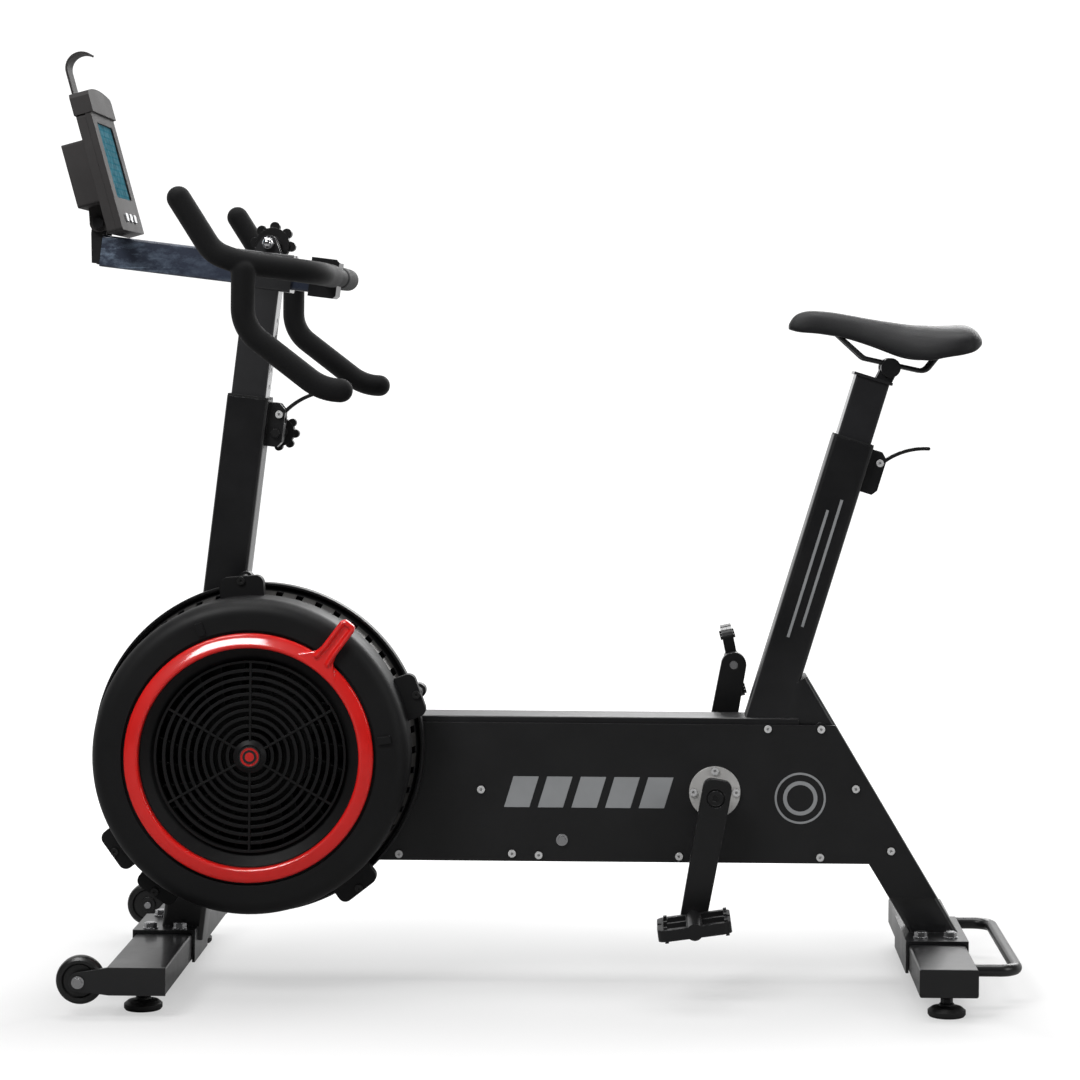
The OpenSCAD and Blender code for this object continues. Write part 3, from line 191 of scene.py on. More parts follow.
def surface(name, base, rough, metal=0.0, coat=0.0, spec=0.5, grain=900.0, grain_depth=0.00002,
            grain_strength=0.5, stretch=None, vary=0.25, rough_vary=0.08, edge=0.0008,
            wear=0.0, wear_color=(0.35, 0.35, 0.36), dust_and_top_sheen=0.0):
    """A painted, moulded or metal surface.

    Grain bump, slow colour and gloss variation, edges softened over the radius edge,
    bare metal on worn edges, and pale specks on faces that look up: partly dust,
    partly a painted sheen of light from above.
    """
    g = Graph(name)
    slow = g.noise(9.0, 4.0, 0.6)
    fine = g.noise(grain, 2.0, 0.6, stretch)
    dark = tuple(c * (1 - vary) for c in base)
    light = tuple(min(1.0, c * (1 + vary)) for c in base)
    color = g.mix(g.ramp(slow, 0.3, 0.7), dark, light)
    bevel = g.add("ShaderNodeBevel", samples=3)
    g.feed(bevel.inputs["Radius"], edge)
    soft_normal = bevel.outputs["Normal"]
    geometry = g.add("ShaderNodeNewGeometry")
    g.set("Metallic", metal)
    if wear > 0:
        flatness = g.vector("DOT_PRODUCT", soft_normal, geometry.outputs["Normal"])
        on_edge = g.ramp(flatness, 0.995, 0.93)
        patchy = g.ramp(g.noise(160.0, 5.0, 0.7), 0.5, 0.62)
        worn = g.math("MULTIPLY", g.math("MULTIPLY", on_edge, patchy), wear)
        color = g.mix(worn, color, wear_color)
        g.set("Metallic", g.math("MAXIMUM", worn, metal))
    # Pale specks on up-facing faces: partly dust, partly a painted sheen where light from above
    # falls on top faces
    if dust_and_top_sheen > 0:
        looks_up = g.ramp(g.split(geometry.outputs["Normal"])["Z"], 0.3, 1.0)
        top_dust_and_sheen = g.math("MULTIPLY", looks_up, g.ramp(g.noise(60.0, 6.0, 0.7), 0.45, 0.75))
        color = g.mix(g.math("MULTIPLY", top_dust_and_sheen, dust_and_top_sheen), color, (0.3, 0.29, 0.28))
    g.set("Base Color", color)
    g.set("Roughness", g.ramp(slow, 0.25, 0.75, max(0.02, rough - rough_vary),
                              min(1.0, rough + rough_vary)))
    g.set("Specular IOR Level", spec)
    if coat:
        g.set("Coat Weight", coat)
        g.set("Coat Roughness", 0.12)
    g.set("Normal", g.bump(fine, grain_strength, grain_depth, soft_normal))
    return g


SURFACES = {
    # The pale specks on up-facing faces are partly dust and partly a painted sheen of light from
    # above
    "frame_black": dict(base=(0.0075, 0.0075, 0.0085), rough=0.36, coat=0.3, grain=1400,
                        grain_depth=0.00004, grain_strength=0.3, wear=0.25, dust_and_top_sheen=0.05, edge=0.0012),
    "plate_black": dict(base=(0.0075, 0.0075, 0.0082), rough=0.44, grain=1600,
                        grain_depth=0.00004, grain_strength=0.25, wear=0.2, edge=0.0007),
    "zinc_steel": dict(base=(0.50, 0.50, 0.51), rough=0.26, metal=1.0, grain=500, vary=0.12,
                       rough_vary=0.06, edge=0.0005),
    "black_plastic": dict(base=(0.010, 0.010, 0.0105), rough=0.5, grain=2200,
                          grain_depth=0.00005),
    "black_rubber": dict(base=(0.010, 0.010, 0.010), rough=0.55, grain_depth=0.0001,
                         edge=0.0012, dust_and_top_sheen=0.25),
    "wheel_rubber": dict(base=(0.012, 0.012, 0.012), rough=0.34, grain=700,
                         grain_depth=0.00006, edge=0.001, dust_and_top_sheen=0.15),
    "bearing_steel": dict(base=(0.80, 0.79, 0.77), rough=0.45, metal=0.5,
                          grain_depth=0.00006, vary=0.12),
    "machined_steel": dict(base=(0.62, 0.62, 0.63), rough=0.26, metal=1.0, grain=600, vary=0.1,
                           edge=0.0005, stretch=(1, 40, 1)),
    "crank_black": dict(base=(0.008, 0.008, 0.0085), rough=0.34, grain=700,
                        grain_depth=0.00008, wear=0.5, edge=0.0018),
    "cast_pulley": dict(base=(0.5, 0.5, 0.51), rough=0.38, metal=1.0, grain=800,
                        grain_depth=0.00006, edge=0.0006),
    "pedal_alloy": dict(base=(0.02, 0.02, 0.021), rough=0.36, metal=0.5, grain_depth=0.0001,
                        wear=0.9, wear_color=(0.45, 0.45, 0.46), edge=0.0012),
    "belt_rubber": dict(base=(0.012, 0.012, 0.012), rough=0.6, grain=1200,
                        grain_depth=0.0001, edge=0.0004),
    "housing_black": dict(base=(0.0080, 0.0080, 0.0085), rough=0.52, spec=0.27, grain=1900,
                          grain_depth=0.00007, grain_strength=0.45, vary=0.15, edge=0.0012,
                          dust_and_top_sheen=0.05),
    "fan_steel": dict(base=(0.006, 0.006, 0.0065), rough=0.45, grain=800, edge=0.0005),
    "knob_plastic": dict(base=(0.008, 0.008, 0.0085), rough=0.38, grain=1500,
                         grain_depth=0.00006, edge=0.0016),
    "bar_paint": dict(base=(0.008, 0.008, 0.0085), rough=0.6, spec=0.08, grain=1500,
                      grain_depth=0.00004, edge=0.001),
    "chrome": dict(base=(0.8, 0.8, 0.82), rough=0.08, metal=1.0, grain=300,
                   grain_depth=0.00001, vary=0.05, rough_vary=0.03, edge=0.0006),
    "console_grey": dict(base=(0.060, 0.057, 0.057), rough=0.62, spec=0.08, grain=2400,
                         grain_depth=0.00008, grain_strength=0.6, vary=0.12, edge=0.0014),
    "button_grey": dict(base=(0.42, 0.43, 0.44), rough=0.4, grain=2000,
                        grain_depth=0.00003, edge=0.001),
    "print_silver": dict(base=(0.38, 0.39, 0.40), rough=0.45, grain=1500,
                         grain_depth=0.00001, vary=0.12, edge=0.0002),
}


def damper_red():
    """Glossy red plastic under a clear skin."""
    g = surface("damper_red", (0.95, 0.012, 0.009), 0.4, spec=0.15, coat=0.9, grain=1500,
                grain_strength=0.25, vary=0.10, rough_vary=0.04, edge=0.0015)
    g.set("Coat Roughness", 0.08)
    return g


def badge_red():
    """A black disc printed with a plain red ring and dot."""
    g = surface("badge_red", (0.80, 0.016, 0.013), 0.28, coat=0.5, edge=0.0006)
    reach = g.fan_radius()
    ring = g.math("SUBTRACT", g.ramp(reach, 0.0095, 0.0100), g.ramp(reach, 0.0125, 0.0130))
    dot = g.ramp(reach, 0.0065, 0.0060)
    printed = g.math("MAXIMUM", ring, dot)
    g.set("Base Color", g.mix(printed, (0.008, 0.008, 0.008), g.base_color()))
    return g


def foam_black():
    """Closed-cell foam: dense shallow pores painted darker as shade, no gloss."""
    g = Graph("foam_black")
    slow = g.noise(14.0, 4.0)
    pores = g.ramp(g.voronoi(850.0, g.at), 0.0, 0.55)
    # The pores are painted darker, as shade in their hollows; the same pattern drives the bump
    # below
    color = g.mix(pores, (0.004, 0.004, 0.004), (0.010, 0.010, 0.0105))
    g.set("Base Color", g.mix(g.ramp(slow, 0.35, 0.7, 0.0, 0.35), color, (0.014, 0.014, 0.015)))
    g.set("Roughness", g.ramp(slow, 0.3, 0.7, 0.62, 0.76))
    g.set("Specular IOR Level", 0.12)
    g.set("Sheen Weight", 0.05)
    fine = g.bump(g.noise(2600.0, 2.0), 0.4, 0.00012)
    g.set("Normal", g.bump(pores, 0.55, 0.00025, fine))
    return g


def saddle_cover():
    """Soft vinyl: pebbled leather grain with painted shade in the creases, a little sheen."""
    g = Graph("saddle_cover")
    warped = g.add("ShaderNodeMixRGB")
    g.feed(warped.inputs["Fac"], 0.004)
    g.feed(warped.inputs["Color1"], g.at)
    g.feed(warped.inputs["Color2"], g.noise(240.0, 3.0))
    cells = g.voronoi(520.0, warped.outputs["Color"], feature="DISTANCE_TO_EDGE")
    pebble = g.ramp(cells, 0.0, 0.22)
    slow = g.noise(18.0, 5.0)
    # The creases between pebbles are painted darker, as shade; the same pattern drives the bump
    color = g.mix(pebble, (0.004, 0.004, 0.005), (0.008, 0.008, 0.0095))
    g.set("Base Color", g.mix(g.ramp(slow, 0.4, 0.75, 0.0, 0.4), color, (0.012, 0.012, 0.014)))
    g.set("Roughness", g.ramp(slow, 0.3, 0.7, 0.46, 0.60))
    g.set("Specular IOR Level", 0.4)
    g.set("Sheen Weight", 0.04)
    g.set("Normal", g.bump(pebble, 0.5, 0.0002, g.bump(slow, 0.15, 0.002)))
    return g


def rear_face_metal(name, base, rough, lean):
    """Dark paint on a leaning post whose back face is bright bare metal."""
    g = surface(name, base, rough, coat=0.1, grain=1300, grain_depth=0.00005,
                grain_strength=0.35)
    rearwards = g.vector("DOT_PRODUCT", g.object_normal, (math.cos(lean), 0.0, -math.sin(lean)))
    bare = g.ramp(rearwards, 0.80, 0.97)
    bright = (0.66, 0.66, 0.67)
    streaks = g.ramp(g.noise(60.0, 3.0, 0.6, (30, 30, 0.6)), 0.3, 0.7)
    metal = g.mix(streaks, tuple(c * 0.8 for c in bright), bright)
    g.set("Base Color", g.mix(bare, g.base_color(), metal))
    g.set("Metallic", bare)
    g.set("Roughness", g.ramp(bare, 0.0, 1.0, rough, 0.2))
    return g


def bar_blue_black():
    """Blue-black paint rubbed pale by sliding, most near the console; the clamp block is black."""
    g = surface("bar_blue_black", (0.036, 0.045, 0.072), 0.32, coat=0.25, grain=1200,
                grain_depth=0.00005, edge=0.001)
    along = g.vector("DOT_PRODUCT", g.at, BAR_WAY)
    block_from = MAST_TOP[0] * BAR_WAY[0] + MAST_TOP[1] * BAR_WAY[2] + CLAMP_BLOCK_ACROSS
    on_block = g.ramp(along, block_from - 0.0005, block_from + 0.0005)
    near_console = g.ramp(along, block_from - 0.30, block_from - 0.16, 1.0, 0.3)
    scuffs = g.ramp(g.noise(48.0, 8.0, 0.75, (0.5, 1, 1)), 0.47, 0.64)
    lines = g.ramp(g.noise(300.0, 2.0, 0.5, (0.02, 1, 1)), 0.62, 0.72)
    strength = g.math("ADD", g.math("MULTIPLY", lines, 0.8), 0.5)
    rubbed = g.math("MULTIPLY", g.math("MULTIPLY", scuffs, strength), near_console)
    paint = g.mix(rubbed, g.base_color(), (0.36, 0.46, 0.60))
    g.set("Base Color", g.mix(on_block, paint, (0.008, 0.008, 0.009)))
    off_block = g.math("SUBTRACT", 1.0, on_block)
    g.set("Metallic", g.math("MULTIPLY", g.math("MULTIPLY", rubbed, 0.6), off_block))
    return g


def screen_glass():
    """Teal display with faint plain blocks and no digits."""
    g = Graph("screen_glass")
    turn = g.add("ShaderNodeMapping")
    g.feed(turn.inputs["Rotation"], (0, SCREEN_TILT, 0))
    g.feed(turn.inputs["Vector"], g.at)
    place = g.split(turn.outputs["Vector"])
    flat = g.add("ShaderNodeCombineXYZ")
    g.feed(flat.inputs["X"], place["Y"])
    g.feed(flat.inputs["Y"], place["Z"])
    bricks = g.add("ShaderNodeTexBrick")
    for key, value in (("Scale", 26.0), ("Mortar Size", 0.03), ("Color1", (1, 1, 1)),
                       ("Color2", (0.35, 0.35, 0.35)), ("Mortar", (0, 0, 0)),
                       ("Vector", flat.outputs["Vector"])):
        g.feed(bricks.inputs[key], value)
    streaks = g.ramp(g.noise(90.0, 3.0, 0.6), 0.3, 0.7)
    teal = g.mix(streaks, (0.020, 0.085, 0.115), (0.045, 0.17, 0.22))
    blocks = g.mix(0.35, teal, bricks.outputs["Color"])
    color = g.mix(g.ramp(bricks.outputs["Fac"], 0.0, 1.0, 0.10, 0.0), teal, blocks)
    g.set("Base Color", color)
    g.set("Emission Color", color)
    g.set("Emission Strength", 0.15)
    g.set("Roughness", 0.6)
    g.set("Specular IOR Level", 0.0)
    return g


def housing_rear():
    """The black rear shell, with its perforated outlet band in dark bare metal."""
    g = surface("housing_rear", (0.0085, 0.0085, 0.009), 0.4, grain=1900, grain_depth=0.00007,
                edge=0.001)
    in_radius = g.ramp(g.fan_radius(), OUTLET_BAND_R + 0.0005, OUTLET_BAND_R)
    in_depth = g.ramp(g.split(g.at)["Y"], OUTLET_BAND_Y + 0.0005, OUTLET_BAND_Y)
    band = g.math("MULTIPLY", in_radius, in_depth)
    g.set("Base Color", g.mix(band, g.base_color(), (0.17, 0.165, 0.16)))
    g.set("Metallic", g.math("MULTIPLY", band, 0.7))
    g.set("Roughness", g.ramp(band, 0.0, 1.0, 0.42, 0.3))
    return g


def button_screws():
    """Zinc screws: painted highlight where a head faces out, painted shade on its rim and socket;
    those in the fan housing's lugs are black.
    """
    g = surface("button_screws", (0.90, 0.90, 0.90), 0.4, metal=0.35, grain=500, vary=0.15,
                edge=0.0007)
    in_lug = g.ramp(g.split(g.at)["Y"], HOUSING_LUG_Y + 0.001, HOUSING_LUG_Y - 0.001)
    # Painted highlight and shade: a head is bright where it faces straight out, dark where its dome
    # turns away and in its socket
    facing = g.math("ABSOLUTE", g.split(g.object_normal)["Y"])
    head_with_painted_highlight = g.mix(g.ramp(facing, 0.86, 0.98), (0.05, 0.048, 0.045), g.base_color())
    g.set("Base Color", g.mix(in_lug, head_with_painted_highlight, (0.02, 0.02, 0.02)))
    return g


M = {name: surface(name, **look).mat for name, look in SURFACES.items()}
for make in (housing_rear, button_screws, damper_red, badge_red, foam_black, saddle_cover,
             bar_blue_black, screen_glass):
    M[make.__name__] = make().mat
M["post_steel"] = rear_face_metal("post_steel", (0.03, 0.03, 0.032), 0.34, MAST_LEAN).mat
M["seat_post_steel"] = rear_face_metal("seat_post_steel", (0.02, 0.02, 0.022), 0.3,
                                       math.pi + SEAT_LEAN).mat

LOOK = {row["node"]: row["material_slot"] for row in frame["record"]["subparts"]}
LOOK["seat_post"] = "seat_post_steel"
LOOK["handlebar"] = "bar_paint"
LOOK["phone_hook"] = "console_grey"
LOOK["housing_rear"] = "housing_rear"
LOOK["button_screws"] = "button_screws"


def smoothing_group():
    """Modifier tree: welds a mesh's doubled points and smooths it except at real edges."""
    tree = bpy.data.node_groups.new("smooth_shading", "GeometryNodeTree")
    for in_out in ("INPUT", "OUTPUT"):
        tree.interface.new_socket("Geometry", in_out=in_out, socket_type="NodeSocketGeometry")
    start, end = tree.nodes.new("NodeGroupInput"), tree.nodes.new("NodeGroupOutput")
    clear = tree.nodes.new("GeometryNodeRemoveAttribute")
    clear.inputs["Name"].default_value = "custom_normal"
    weld = tree.nodes.new("GeometryNodeMergeByDistance")
    weld.inputs["Distance"].default_value = 0.000002
    angle = tree.nodes.new("GeometryNodeInputMeshEdgeAngle")
    below = tree.nodes.new("FunctionNodeCompare")
    below.data_type = "FLOAT"
    below.operation = "LESS_THAN"
    below.inputs["B"].default_value = math.radians(24)
    faces = tree.nodes.new("GeometryNodeSetShadeSmooth")
    faces.domain = "FACE"
    edges = tree.nodes.new("GeometryNodeSetShadeSmooth")
    edges.domain = "EDGE"
    for a, b in ((start.outputs[0], clear.inputs[0]), (clear.outputs[0], weld.inputs[0]),
                 (weld.outputs[0], faces.inputs[0]), (faces.outputs[0], edges.inputs[0]),
                 (angle.outputs[0], below.inputs[0]),
                 (below.outputs[0], edges.inputs["Shade Smooth"]),
                 (edges.outputs[0], end.inputs[0])):
        tree.links.new(a, b)
    return tree


def dress_cad_nodes():
    smooth = smoothing_group()
    for name, o in NODES.items():
        for slot in o.material_slots:
            slot.material = M[LOOK[name]]
        if not o.material_slots:
            o.data.materials.append(M[LOOK[name]])
        o.modifiers.new("smooth_shading", "NODES").node_group = smooth


dress_cad_nodes()


# ---------------------------------------------------------------- mesh helpers
# A part is (vertices, faces).

def add_mesh(name, part, look, sharp_above=None):
    """A new object from a part; edges that bend more than sharp_above degrees stay sharp."""
    verts, faces = part
    mesh = bpy.data.meshes.new(name)
    mesh.from_pydata([tuple(v) for v in verts], [], faces)
    mesh.validate()
    bm = bmesh.new()
    bm.from_mesh(mesh)
    bmesh.ops.recalc_face_normals(bm, faces=bm.faces)
    bm.to_mesh(mesh)
    bm.free()
    mesh.materials.append(M[look])
    o = bpy.data.objects.new(name, mesh)
    bpy.context.scene.collection.objects.link(o)
    mesh.shade_smooth()
    if sharp_above:
        mesh.set_sharp_from_angle(angle=math.radians(sharp_above))
    return o


def attach(o, body, replaces=None):
    """Rides a piece on a body; it may stand in for a CAD node."""
    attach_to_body(o, body)
    if replaces:
        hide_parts(replaces)


def apply_modifiers(o):
    depsgraph = bpy.context.evaluated_depsgraph_get()
    mesh = bpy.data.meshes.new_from_object(o.evaluated_get(depsgraph), depsgraph=depsgraph)
    o.modifiers.clear()
    old = o.data
    o.data = mesh
    bpy.data.meshes.remove(old)
    mesh.shade_smooth()


def remesh(o, voxel, smoothing_rounds):
    """Joins overlapping shells into one skin and smooths it."""
    join = o.modifiers.new("join", "REMESH")
    join.mode = "VOXEL"
    join.voxel_size = voxel
    soft = o.modifiers.new("soft", "SMOOTH")
    soft.factor = 0.5
    soft.iterations = smoothing_rounds
    apply_modifiers(o)


def unit(v):
    return v / np.linalg.norm(v)


def circle(sides):
    """(cos, sin) round a circle."""
    return [(math.cos(2 * math.pi * k / sides), math.sin(2 * math.pi * k / sides))
            for k in range(sides)]


def fillet_path(points, bends, step=0.003):
    """Dense points along a polyline whose corners are rounded to the given radii."""
    points = [np.array(p, float) for p in points]
    rounded = [points[0]]
    for before, corner, after, radius in zip(points, points[1:], points[2:], bends):
        way_in, way_out = unit(corner - before), unit(after - corner)
        turn = math.acos(float(np.clip(way_in @ way_out, -1, 1)))
        start = corner - way_in * (radius * math.tan(turn / 2))
        inward = unit(way_out - (way_out @ way_in) * way_in)
        centre = start + inward * radius
        pieces = max(4, int(turn * radius / step))
        for k in range(pieces + 1):
            w = turn * k / pieces
            rounded.append(centre - inward * radius * math.cos(w) + way_in * radius * math.sin(w))
    rounded.append(points[-1])
    dense = [rounded[0]]
    for p in rounded[1:]:
        base = dense[-1]
        pieces = max(1, int(np.linalg.norm(p - base) / (step * 3)))
        dense += [base + (p - base) * k / pieces for k in range(1, pieces + 1)]
    return dense


def sweep(path, radius, sides=40):
    """A tube along a path, with rounded closed ends that reach the path's own ends."""
    path = [np.array(p, float) for p in path]
    radii = [radius] * len(path)
    quarter = np.linspace(0, math.pi / 2, 9)
    cap_radii = [max(radius * math.cos(t), radius * 0.02) for t in quarter]
    for at_end in (False, True):
        tip, inner = (path[-1], path[-2]) if at_end else (path[0], path[1])
        way = unit(tip - inner)
        base = tip - way * radius
        keep = [k for k, p in enumerate(path) if (tip - p) @ way > radius * 1.001]
        path = [path[k] for k in keep]
        radii = [radii[k] for k in keep]
        cap = [base + way * radius * math.sin(t) for t in quarter]
        if at_end:
            path, radii = path + cap, radii + cap_radii
        else:
            path, radii = cap[::-1] + path, cap_radii[::-1] + radii
    n = len(path)
    ways = [unit(path[min(i + 1, n - 1)] - path[max(i - 1, 0)]) for i in range(n)]
    side = unit(np.cross(ways[0], [0.13, 0.27, 0.95]))
    verts, faces = [], []
    for centre, r, way in zip(path, radii, ways):
        side = unit(side - (side @ way) * way)
        up = np.cross(way, side)
        verts += [centre + r * (c * side + s * up) for c, s in circle(sides)]
    for i in range(n - 1):
        for k in range(sides):
            a, b = i * sides + k, i * sides + (k + 1) % sides
            faces.append((a, b, b + sides, a + sides))
    faces.append(tuple(range(sides))[::-1])
    faces.append(tuple((n - 1) * sides + k for k in range(sides)))
    return verts, faces


def turned(profile, centre, sides):
    """Closed ring about a line along y through centre (x, z), from a (radius, y) outline."""
    n = len(profile)
    verts = [(centre[0] + r * c, y, centre[1] + r * s) for c, s in circle(sides)
             for r, y in profile]
    faces = [(k * n + i, k * n + (i + 1) % n, (k + 1) % sides * n + (i + 1) % n,
              (k + 1) % sides * n + i)
             for k in range(sides) for i in range(n)]
    return verts, faces


def slab(outline, y0, y1):
    """Closed slab between y0 and y1 from an (x, z) outline."""
    n = len(outline)
    verts = [(x, y0, z) for x, z in outline] + [(x, y1, z) for x, z in outline]
    faces = [tuple(range(n)), tuple(range(2 * n - 1, n - 1, -1))]
    faces += [(i, (i + 1) % n, n + (i + 1) % n, n + i) for i in range(n)]
    return verts, faces


def merge(parts):
    verts, faces = [], []
    for part_verts, part_faces in parts:
        shift = len(verts)
        verts += list(part_verts)
        faces += [tuple(i + shift for i in face) for face in part_faces]
    return verts, faces


def mirror_y(part):
    verts, faces = part
    return [(p[0], -p[1], p[2]) for p in verts], [face[::-1] for face in faces]


# ---------------------------------------------------------------- foam grips

def foam_grips():
    """Foam over the top bar and the drop bar of each side, grown together where they meet."""
    x, z = leaned(MAST_TOP, MAST_LEAN, HANDLEBAR_ACROSS, HANDLEBAR_UP)
    inner_y, shoulder_y, outer_y = 0.033, 0.205, 0.282
    radius = 0.0163
    top = fillet_path([(x, inner_y, z), (x, shoulder_y, z), (-0.395, outer_y, 1.0155),
                       (-0.430, outer_y, 1.029), (-0.485, outer_y, 1.115)],
                      [0.088, 0.060, 0.045])
    drop = fillet_path([(-0.389, outer_y, 1.021), (-0.389, outer_y, 0.928),
                        (-0.279, outer_y, 0.844), (-0.240, outer_y, 0.8455)],
                       [0.055, 0.070])
    right = merge([sweep(top, radius), sweep(drop, radius)])
    for label, part, replaces in (("right", right, "handlebar_foam"),
                                  ("left", mirror_y(right), None)):
        o = add_mesh("foam_grip_" + label, part, "foam_black")
        remesh(o, 0.0016, 10)
        attach(o, "slider", replaces)


foam_grips()


# ---------------------------------------------------------------- saddle

# Half width, top and lowest edge along the saddle, from its nose, as (x, value)
HALF_WIDTH = [(0.357, 0.012), (0.364, 0.019), (0.382, 0.023), (0.420, 0.025), (0.460, 0.032),
              (0.495, 0.046), (0.530, 0.063), (0.565, 0.075), (0.595, 0.079), (0.616, 0.074),
              (0.628, 0.060), (0.632, 0.040)]
TOP = [(0.357, 0.938), (0.361, 0.950), (0.371, 0.9585), (0.386, 0.9622), (0.410, 0.9610),
       (0.441, 0.958), (0.487, 0.950), (0.528, 0.944), (0.575, 0.9425), (0.605, 0.944),
       (0.620, 0.9405), (0.629, 0.932), (0.632, 0.922)]
LOW = [(0.357, 0.935), (0.372, 0.930), (0.400, 0.9285), (0.440, 0.9225), (0.480, 0.910),
       (0.520, 0.895), (0.540, 0.8905), (0.560, 0.8900), (0.575, 0.8950), (0.600, 0.8985),
       (0.618, 0.9035), (0.628, 0.911), (0.632, 0.917)]
# The underside's ceiling, which rests on the shell
CEILING = [(0.368, 0.9415), (0.44, 0.9385), (0.5, 0.9305), (0.56, 0.9245), (0.622, 0.9245)]
STATIONS = [0.3575, 0.3600, 0.3640, 0.3700, 0.3780, 0.3880, 0.4000, 0.4140, 0.4300, 0.4460,
            0.4620, 0.4780, 0.4930, 0.5070, 0.5200, 0.5330, 0.5460, 0.5590, 0.5720, 0.5850,
            0.5970, 0.6070, 0.6150, 0.6215, 0.6265, 0.6300, 0.6318]
HOLLOW_FROM, HOLLOW_TO = 0.3695, 0.6205
TOP_POINTS = 15


def read(table, x, blur=0.0):
    """A table's value at x, averaged with its neighbours at the distance blur."""
    xs, ys = zip(*table)
    return sum(float(np.interp(x + d * blur, xs, ys)) * w
               for d, w in ((-1, 0.25), (0, 0.5), (1, 0.25)))


def saddle_ring(x):
    """One cross-section: over the crown from side to side, then under the rims."""
    width = read(HALF_WIDTH, x, 0.004)
    low = read(LOW, x, 0.003)
    top = max(read(TOP, x, 0.003), low + 0.004)
    wing = np.clip((x - 0.46) / 0.10, 0, 1)
    in_groove = np.clip((x - 0.42) / 0.03, 0, 1) * np.clip((0.60 - x) / 0.03, 0, 1)
    ring = []
    for i in range(TOP_POINTS):
        t = -1 + 2 * i / (TOP_POINTS - 1)
        a = abs(t) * math.pi / 2
        y = math.copysign(width * math.sin(a) ** (0.86 + 0.06 * wing), t)
        fall = 1 - math.cos(a) ** (0.72 - 0.10 * wing)
        groove = 0.0022 * math.exp(-(y / 0.010) ** 2) * in_groove
        ring.append((x, y, top - (top - low) * fall - groove))
    inside = width - min(0.0085, width * 0.6)
    rim = low - 0.0004
    ceiling = max(min(read(CEILING, x), top - 0.004), low + 0.001)
    if x < HOLLOW_FROM or x > HOLLOW_TO:
        ceiling = low + 0.0008
    ring += [(x, inside, rim), (x, inside, ceiling), (x, 0.0, ceiling),
             (x, -inside, ceiling), (x, -inside, rim)]
    return ring


def saddle():
    rings = [saddle_ring(x) for x in STATIONS]
    n, last = len(rings[0]), len(rings) - 1
    verts = [p for ring in rings for p in ring]
    faces = []
    for i in range(last):
        for k in range(n):
            a, b = i * n + k, i * n + (k + 1) % n
            faces.append((a, a + n, b + n, b))
    faces.append(tuple(range(n)))
    faces.append(tuple(last * n + k for k in range(n))[::-1])
    o = add_mesh("saddle_cover", (verts, faces), "saddle_cover")
    rounding = o.modifiers.new("round", "SUBSURF")
    rounding.levels = rounding.render_levels = 2
    apply_modifiers(o)
    attach(o, "saddle", "saddle_cushion")


saddle()


# ---------------------------------------------------------------- damper ring and lever

DAMPER_PROFILE = [(0.1515, -0.1745), (0.1515, -0.1830), (0.1526, -0.1856), (0.1550, -0.1865),
                  (0.1600, -0.1858), (0.1660, -0.1846), (0.1705, -0.1832), (0.1720, -0.1815),
                  (0.1720, -0.1745)]
# The lever's half width, as (distance from the fan's axis, half width)
LEVER_OUTLINE = [(0.158, 0.030), (0.168, 0.021), (0.176, 0.0145), (0.186, 0.012),
                 (0.229, 0.0115), (0.233, 0.0095), (0.2345, 0.006)]
LEVER_ANGLE = math.radians(53.5)
LEVER_BACK_Y, LEVER_FRONT_Y = -0.1825, -0.1862
RIB_ACROSS, RIB_Y, RIB_R = 0.0085, -0.1880, 0.0036
LIP_ACROSS, LIP_AT = 0.0095, 0.2305


def on_lever(out, across, y):
    """A point out along the lever, across it and at depth y."""
    c, s = math.cos(LEVER_ANGLE), math.sin(LEVER_ANGLE)
    return np.array(FAN) + out * np.array([c, 0, s]) + across * np.array([-s, 0, c]) + [0, y, 0]


def damper():
    """The red ring with its two-ribbed lever, moulded in one."""
    ring = turned(DAMPER_PROFILE, (FAN.x, FAN.z), 240)
    outline = [on_lever(r, w, 0) for r, w in LEVER_OUTLINE]
    outline += [on_lever(r, -w, 0) for r, w in reversed(LEVER_OUTLINE)]
    plate = slab([(p[0], p[2]) for p in outline], LEVER_FRONT_Y, LEVER_BACK_Y)
    ribs = [sweep([on_lever(0.166, w * 1.2, LEVER_FRONT_Y), on_lever(0.185, w, RIB_Y - 0.0002),
                   on_lever(0.231, w, RIB_Y)], RIB_R, sides=24)
            for w in (-RIB_ACROSS, RIB_ACROSS)]
    lip = sweep([on_lever(LIP_AT, -LIP_ACROSS, RIB_Y), on_lever(LIP_AT, LIP_ACROSS, RIB_Y)],
                RIB_R, sides=24)
    o = add_mesh("damper_moulding", merge([ring, plate, *ribs, lip]), "damper_red")
    remesh(o, 0.0010, 8)
    attach(o, "damper", "damper_ring")
    return o


DAMPER = damper()


# ---------------------------------------------------------------- plain prints on the frame

PRINT_PROUD, PRINT_SUNK = 0.0003, 0.0002


def print_slab(outline, face_y):
    return slab(outline, face_y - PRINT_PROUD, face_y + PRINT_SUNK)


def print_ring(centre, inner, outer, face_y):
    proud, sunk = face_y - PRINT_PROUD, face_y + PRINT_SUNK
    return turned([(inner, proud), (outer, proud), (outer, sunk), (inner, sunk)], centre, 72)


def slanted_bar(x, z, width=0.036, height=0.044, lean=0.3):
    slip = lean * height
    return [(x, z), (x + width, z), (x + width + slip, z + height), (x + slip, z + height)]


